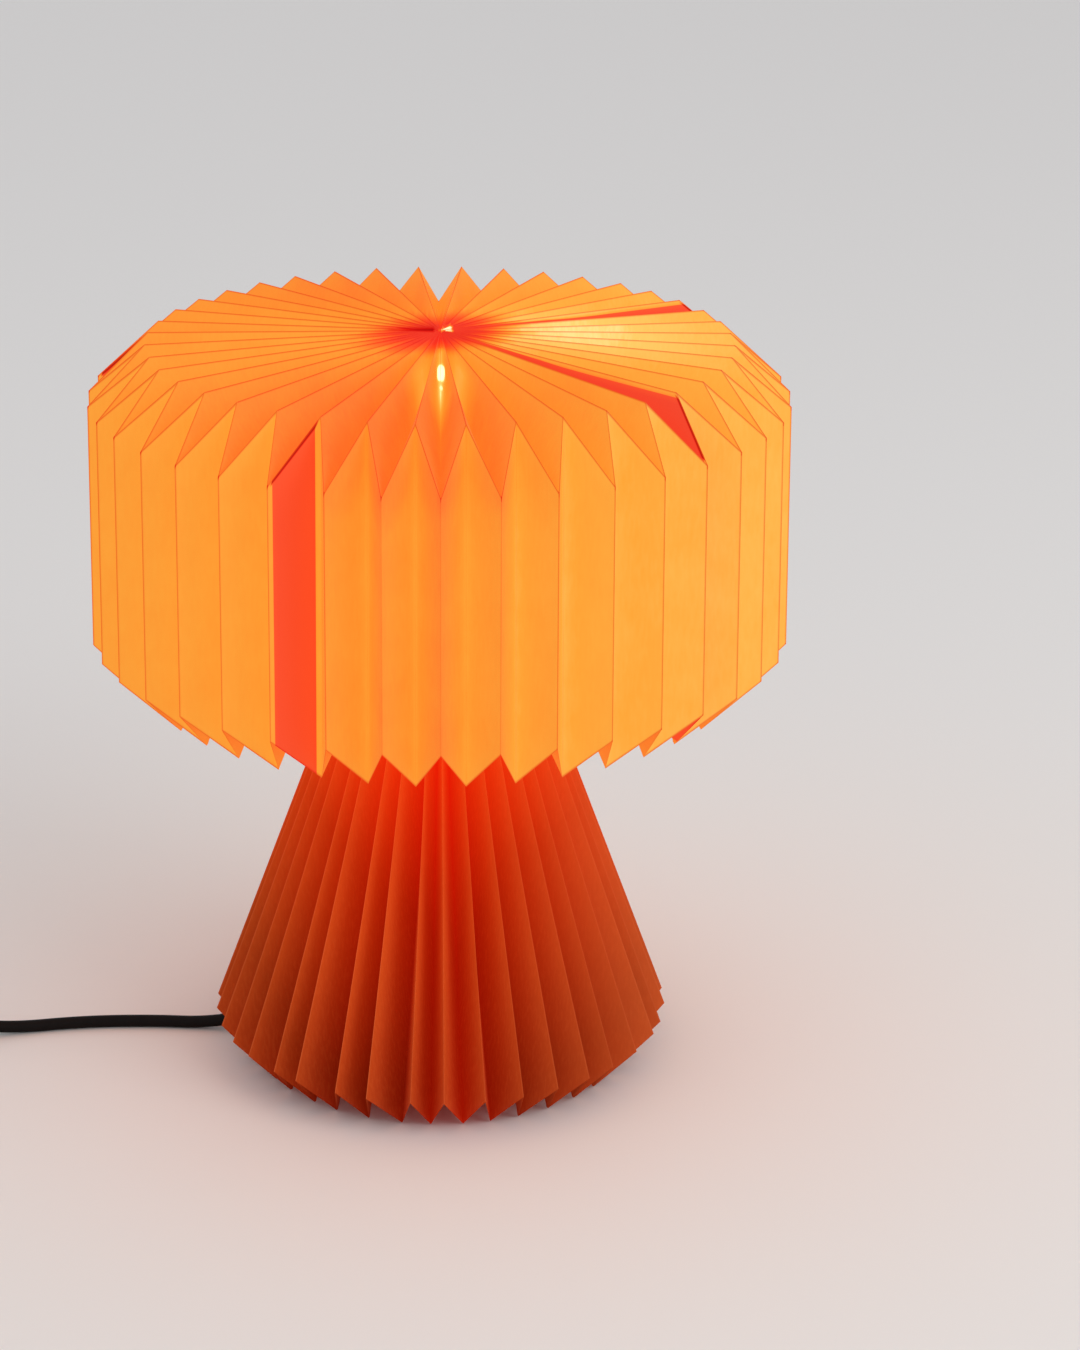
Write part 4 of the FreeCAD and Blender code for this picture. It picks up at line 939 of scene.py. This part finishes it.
def coil_route():
    """Points of the coil: the radius falls by one pitch a turn while it winds in, the cord climbs
    one layer in half a turn, and the radius grows again as it winds out. A curve of third order
    on so many points a turn runs inside them, so they stand out by that much."""
    wound = 2 * np.pi * COIL_TURNS
    whole = 2 * wound + np.pi
    angle = np.linspace(0, whole, round(whole / (2 * np.pi) * COIL_POINTS) + 1)
    climb = np.clip(angle - wound, 0, np.pi)
    wider = np.maximum(wound - angle, 0) + np.maximum(angle - wound - np.pi, 0)
    inmost = COIL_RADIUS - COIL_PITCH * COIL_TURNS
    radius = inmost + COIL_PITCH / (2 * np.pi) * (wider - climb + climb**2 / np.pi)
    radius = radius / (0.75 + 0.25 * math.cos(2 * np.pi / COIL_POINTS))
    height = between(*COIL_LEVELS, (1 - np.cos(climb)) / 2)
    x = COIL_MIDDLE[0] - radius * np.sin(angle)
    y = COIL_MIDDLE[1] + radius * np.cos(angle)
    return np.stack([x, y, height], axis=1)


rest_route = np.array([
    (-0.3020, -0.0010, 0.0082),
    (-0.3210, -0.0010, 0.0082),
    (-0.3430, -0.0020, 0.00405),
    (-0.3640, -0.0020, 0.00405),
    *coil_route(),
    (-0.3640, -0.0860, 0.01025),
    (-0.3450, -0.0860, 0.01025),
    (-0.3240, -0.0870, 0.0075),
    (-0.3040, -0.0870, 0.0075),
])
rest = piece(
    "cord_rest_line", cord_curve(rest_route), lead_rubber, "stand", "cord",
    "cord_link", "cord_coil", "cord_tail",
)

tie_plastic = mottled(
    "tie_plastic", srgb(16, 16, 17), srgb(30, 30, 31), 300, (0.4, 0.55), 0.2, (1, 0.2, 1),
    Specular_IOR_Level=0.3,
)
# Depth below the band's outside and place across it, round its section, in millimetres
BAND_SECTION = [
    (0.0, -3.9), (0.0, 3.9), (0.2, 4.0), (0.6, 4.0), (0.8, 3.9), (0.8, -3.9), (0.6, -4.0), (0.2, -4.0),
]


def tie_grid():
    """For each corner of the band's section a rounded loop, as large as the CAD tie's outside box
    and drawn in by the corner's depth."""
    low, high = (np.array(corner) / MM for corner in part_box("cord_tie"))
    middle = (low + high) / 2
    size = high - low
    rows = []
    for depth, aside in BAND_SECTION:
        loop = rounded_loop(size[0] - 2 * depth, size[2] - 2 * depth, 3.0 - depth)
        rows.append(points_at(loop[:, 0] + middle[0], middle[1] + aside, loop[:, 1] + middle[2]))
    return np.stack(rows)


tie = piece("coil_tie_band", joined([tie_grid()]), tie_plastic, "stand", "tie", "cord_tie")

# Plug: a flat two-pin plug of black plastic, moulded onto the cord's end with a ribbed strain relief.
# The pins are nickel plated, with black insulation on the half next to the body.

# Places and sizes in millimetres
PLUG_BACK, PLUG_FRONT = -284.0, -249.0
PLUG_Y, PLUG_Z = -87.0, 7.5
PINS_APART = 18.6
SLEEVE_BACK, SLEEVE_FRONT = -303.9, -284.2
SLEEVE_RIBS = 6


def plug_grid():
    """Rounded outlines across the cord's way, from the narrow back to the wide face, with finger
    ridges where the sides are held."""
    grip = np.linspace(0.3, 0.57, 10)
    back = [0, 0, 0.02, 0.06, 0.14, 0.24]
    share = np.concatenate([back, grip, [0.62, 0.75, 0.9, 0.97, 0.99, 1, 1]])
    ease = share * share * (3 - 2 * share)
    width = 13 + 22.5 * np.minimum(1, 1.35 * ease**0.8)
    thick = 11 + 2.7 * np.minimum(1, 1.6 * ease)
    gripped = (share > 0.29) & (share < 0.58)
    width = width + np.where(gripped, 0.8 * np.cos(2 * np.pi * (share - 0.3) / 0.06) - 0.8, 0)
    end = np.array([0, 0.8, 0.94] + [1] * (len(share) - 7) + [0.985, 0.965, 0.93, 0])
    rows = []
    for at, wide, tall, size in zip(PLUG_BACK + share * (PLUG_FRONT - PLUG_BACK), width, thick, end):
        loop = rounded_loop(wide, tall, 4.5) * size
        rows.append(points_at(at, loop[:, 0] + PLUG_Y, loop[:, 1] + PLUG_Z))
    return np.stack(rows)


def lying(outline, y, z, around=48):
    """An outline of (radius, x) in millimetres turned about a line along X."""
    outline = np.asarray(outline, float)
    angle = np.linspace(0, 2 * np.pi, around, endpoint=False)[None, :]
    radius = outline[:, 0:1]
    return points_at(outline[:, 1:2], y + radius * np.cos(angle), z + radius * np.sin(angle))


plug = piece(
    "plug_moulding", joined([plug_grid()]), moulded_black, "stand", "black_plastic", "plug_body"
)
sleeve_at = np.linspace(SLEEVE_BACK, SLEEVE_FRONT, 80)
sleeve_share = (sleeve_at - SLEEVE_BACK) / (SLEEVE_FRONT - SLEEVE_BACK)
rings = 0.5 - 0.5 * np.cos(2 * np.pi * sleeve_share * SLEEVE_RIBS)
sleeve_radius = 3.5 + 1.9 * sleeve_share - 0.7 * np.clip(rings * 1.6 - 0.6, 0, 1)
sleeve_line = np.concatenate([
    [(2.85, SLEEVE_BACK)],
    np.stack([sleeve_radius, sleeve_at], axis=1),
    [(0, SLEEVE_FRONT), (0, SLEEVE_BACK + 0.9), (2.85, SLEEVE_BACK + 0.9)],
])
relief = joined([lying(sleeve_line, PLUG_Y, PLUG_Z)])
sleeve = piece("plug_relief", relief, soft_rubber, "stand", "rubber", "plug_sleeve")


def pin_metal():
    """Nickel on the free half of a pin, black insulation on the half next to the plug."""
    material, tree, shader = new_material("pin_metal")
    place = places(tree)
    along_pin = add(tree, "ShaderNodeSeparateXYZ", {"Vector": place}).outputs["X"]
    bare = rescaled(tree, along_pin, 0, 1, -0.2391, -0.2390)
    tone = mixed(tree, bare, srgb(24, 23, 23), srgb(196, 192, 182))
    rough = rescaled(tree, noise(tree, place, 700.0, 3.0), 0.2, 0.45)
    tree.links.new(tone, shader.inputs["Base Color"])
    tree.links.new(bare, shader.inputs["Metallic"])
    tree.links.new(rough, shader.inputs["Roughness"])
    return material


pin_line = [
    (0, -250.0), (1.75, -250.0), (1.75, -239.1), (1.95, -238.9), (2.0, -238.6), (2.0, -232.0),
    (1.85, -231.2), (1.4, -230.5), (0.75, -230.1), (0, -230.0),
]
pin_places = (PLUG_Y - PINS_APART / 2, PLUG_Y + PINS_APART / 2)
both_pins = joined([lying(pin_line, y, PLUG_Z, 32) for y in pin_places], 50)
pins = piece("plug_contact_pins", both_pins, pin_metal(), "stand", "nickel", "plug_pins")

# Stage: a plain pale table top, soft light from a large panel and a weaker one, and the camera
# at the photograph's place.

floor_material, *_ = new_material(
    "pale_floor", Base_Color=srgb(234, 231, 226), Roughness=0.9, Specular_IOR_Level=0.1
)
floor_mesh = bpy.data.meshes.new("floor")
floor_mesh.from_pydata([(-12, -12, 0), (12, -12, 0), (12, 12, 0), (-12, 12, 0)], [], [(0, 1, 2, 3)])
floor_mesh.materials.append(floor_material)
floor = bpy.data.objects.new("floor", floor_mesh)
bpy.context.scene.collection.objects.link(floor)


def placed(side, up, ahead, place):
    """The matrix of a light or camera at a place: its sides to the right and up, and its way ahead."""
    return Matrix([*zip(side, up, -ahead, place), (0, 0, 0, 1)])


def panel(name, place, target, size, power):
    """A square light panel that faces a point."""
    light = bpy.data.lights.new(name, "AREA")
    light.size = size
    light.energy = power
    made = bpy.data.objects.new(name, light)
    aim = np.subtract(target, place)
    aim = aim / np.linalg.norm(aim)
    side = np.cross(aim, (0, 0, 1))
    side = side / np.linalg.norm(side)
    made.matrix_world = placed(side, np.cross(side, aim), aim, place)
    bpy.context.scene.collection.objects.link(made)


panel("key_panel", (1.7, -1.3, 1.5), (0, 0, 0.15), 1.6, 20)
panel("fill_panel", (-1.8, -0.9, 1.2), (0, 0, 0.15), 1.6, 2)
world = bpy.data.worlds.new("studio")
world.use_nodes = True
sky = world.node_tree.nodes["Background"]
sky.inputs["Color"].default_value = (0.94, 0.95, 1.0, 1)
sky.inputs["Strength"].default_value = 0.74
bpy.context.scene.world = world
bpy.context.scene.view_settings.view_transform = "Standard"

CAMERA_PLACE = (0.0, -1.38427, 0.71085)
YAW, PITCH, ROLL = 0.0316, 0.3674, 0.0107
FOCAL_PIXELS, IMAGE_PIXELS = 3364.36, 1350
ahead = np.array([math.sin(YAW) * math.cos(PITCH), math.cos(YAW) * math.cos(PITCH), -math.sin(PITCH)])
level_side = np.array([math.cos(YAW), -math.sin(YAW), 0])
level_up = np.cross(level_side, ahead)
side = math.cos(ROLL) * level_side + math.sin(ROLL) * level_up
up = -math.sin(ROLL) * level_side + math.cos(ROLL) * level_up
lens = bpy.data.cameras.new("camera")
lens.sensor_fit = "VERTICAL"
lens.sensor_height = 36
lens.lens = FOCAL_PIXELS * lens.sensor_height / IMAGE_PIXELS
lens.clip_end = 100
camera = bpy.data.objects.new("camera", lens)
camera.matrix_world = placed(side, up, ahead, CAMERA_PLACE)
bpy.context.scene.collection.objects.link(camera)
bpy.context.scene.camera = camera
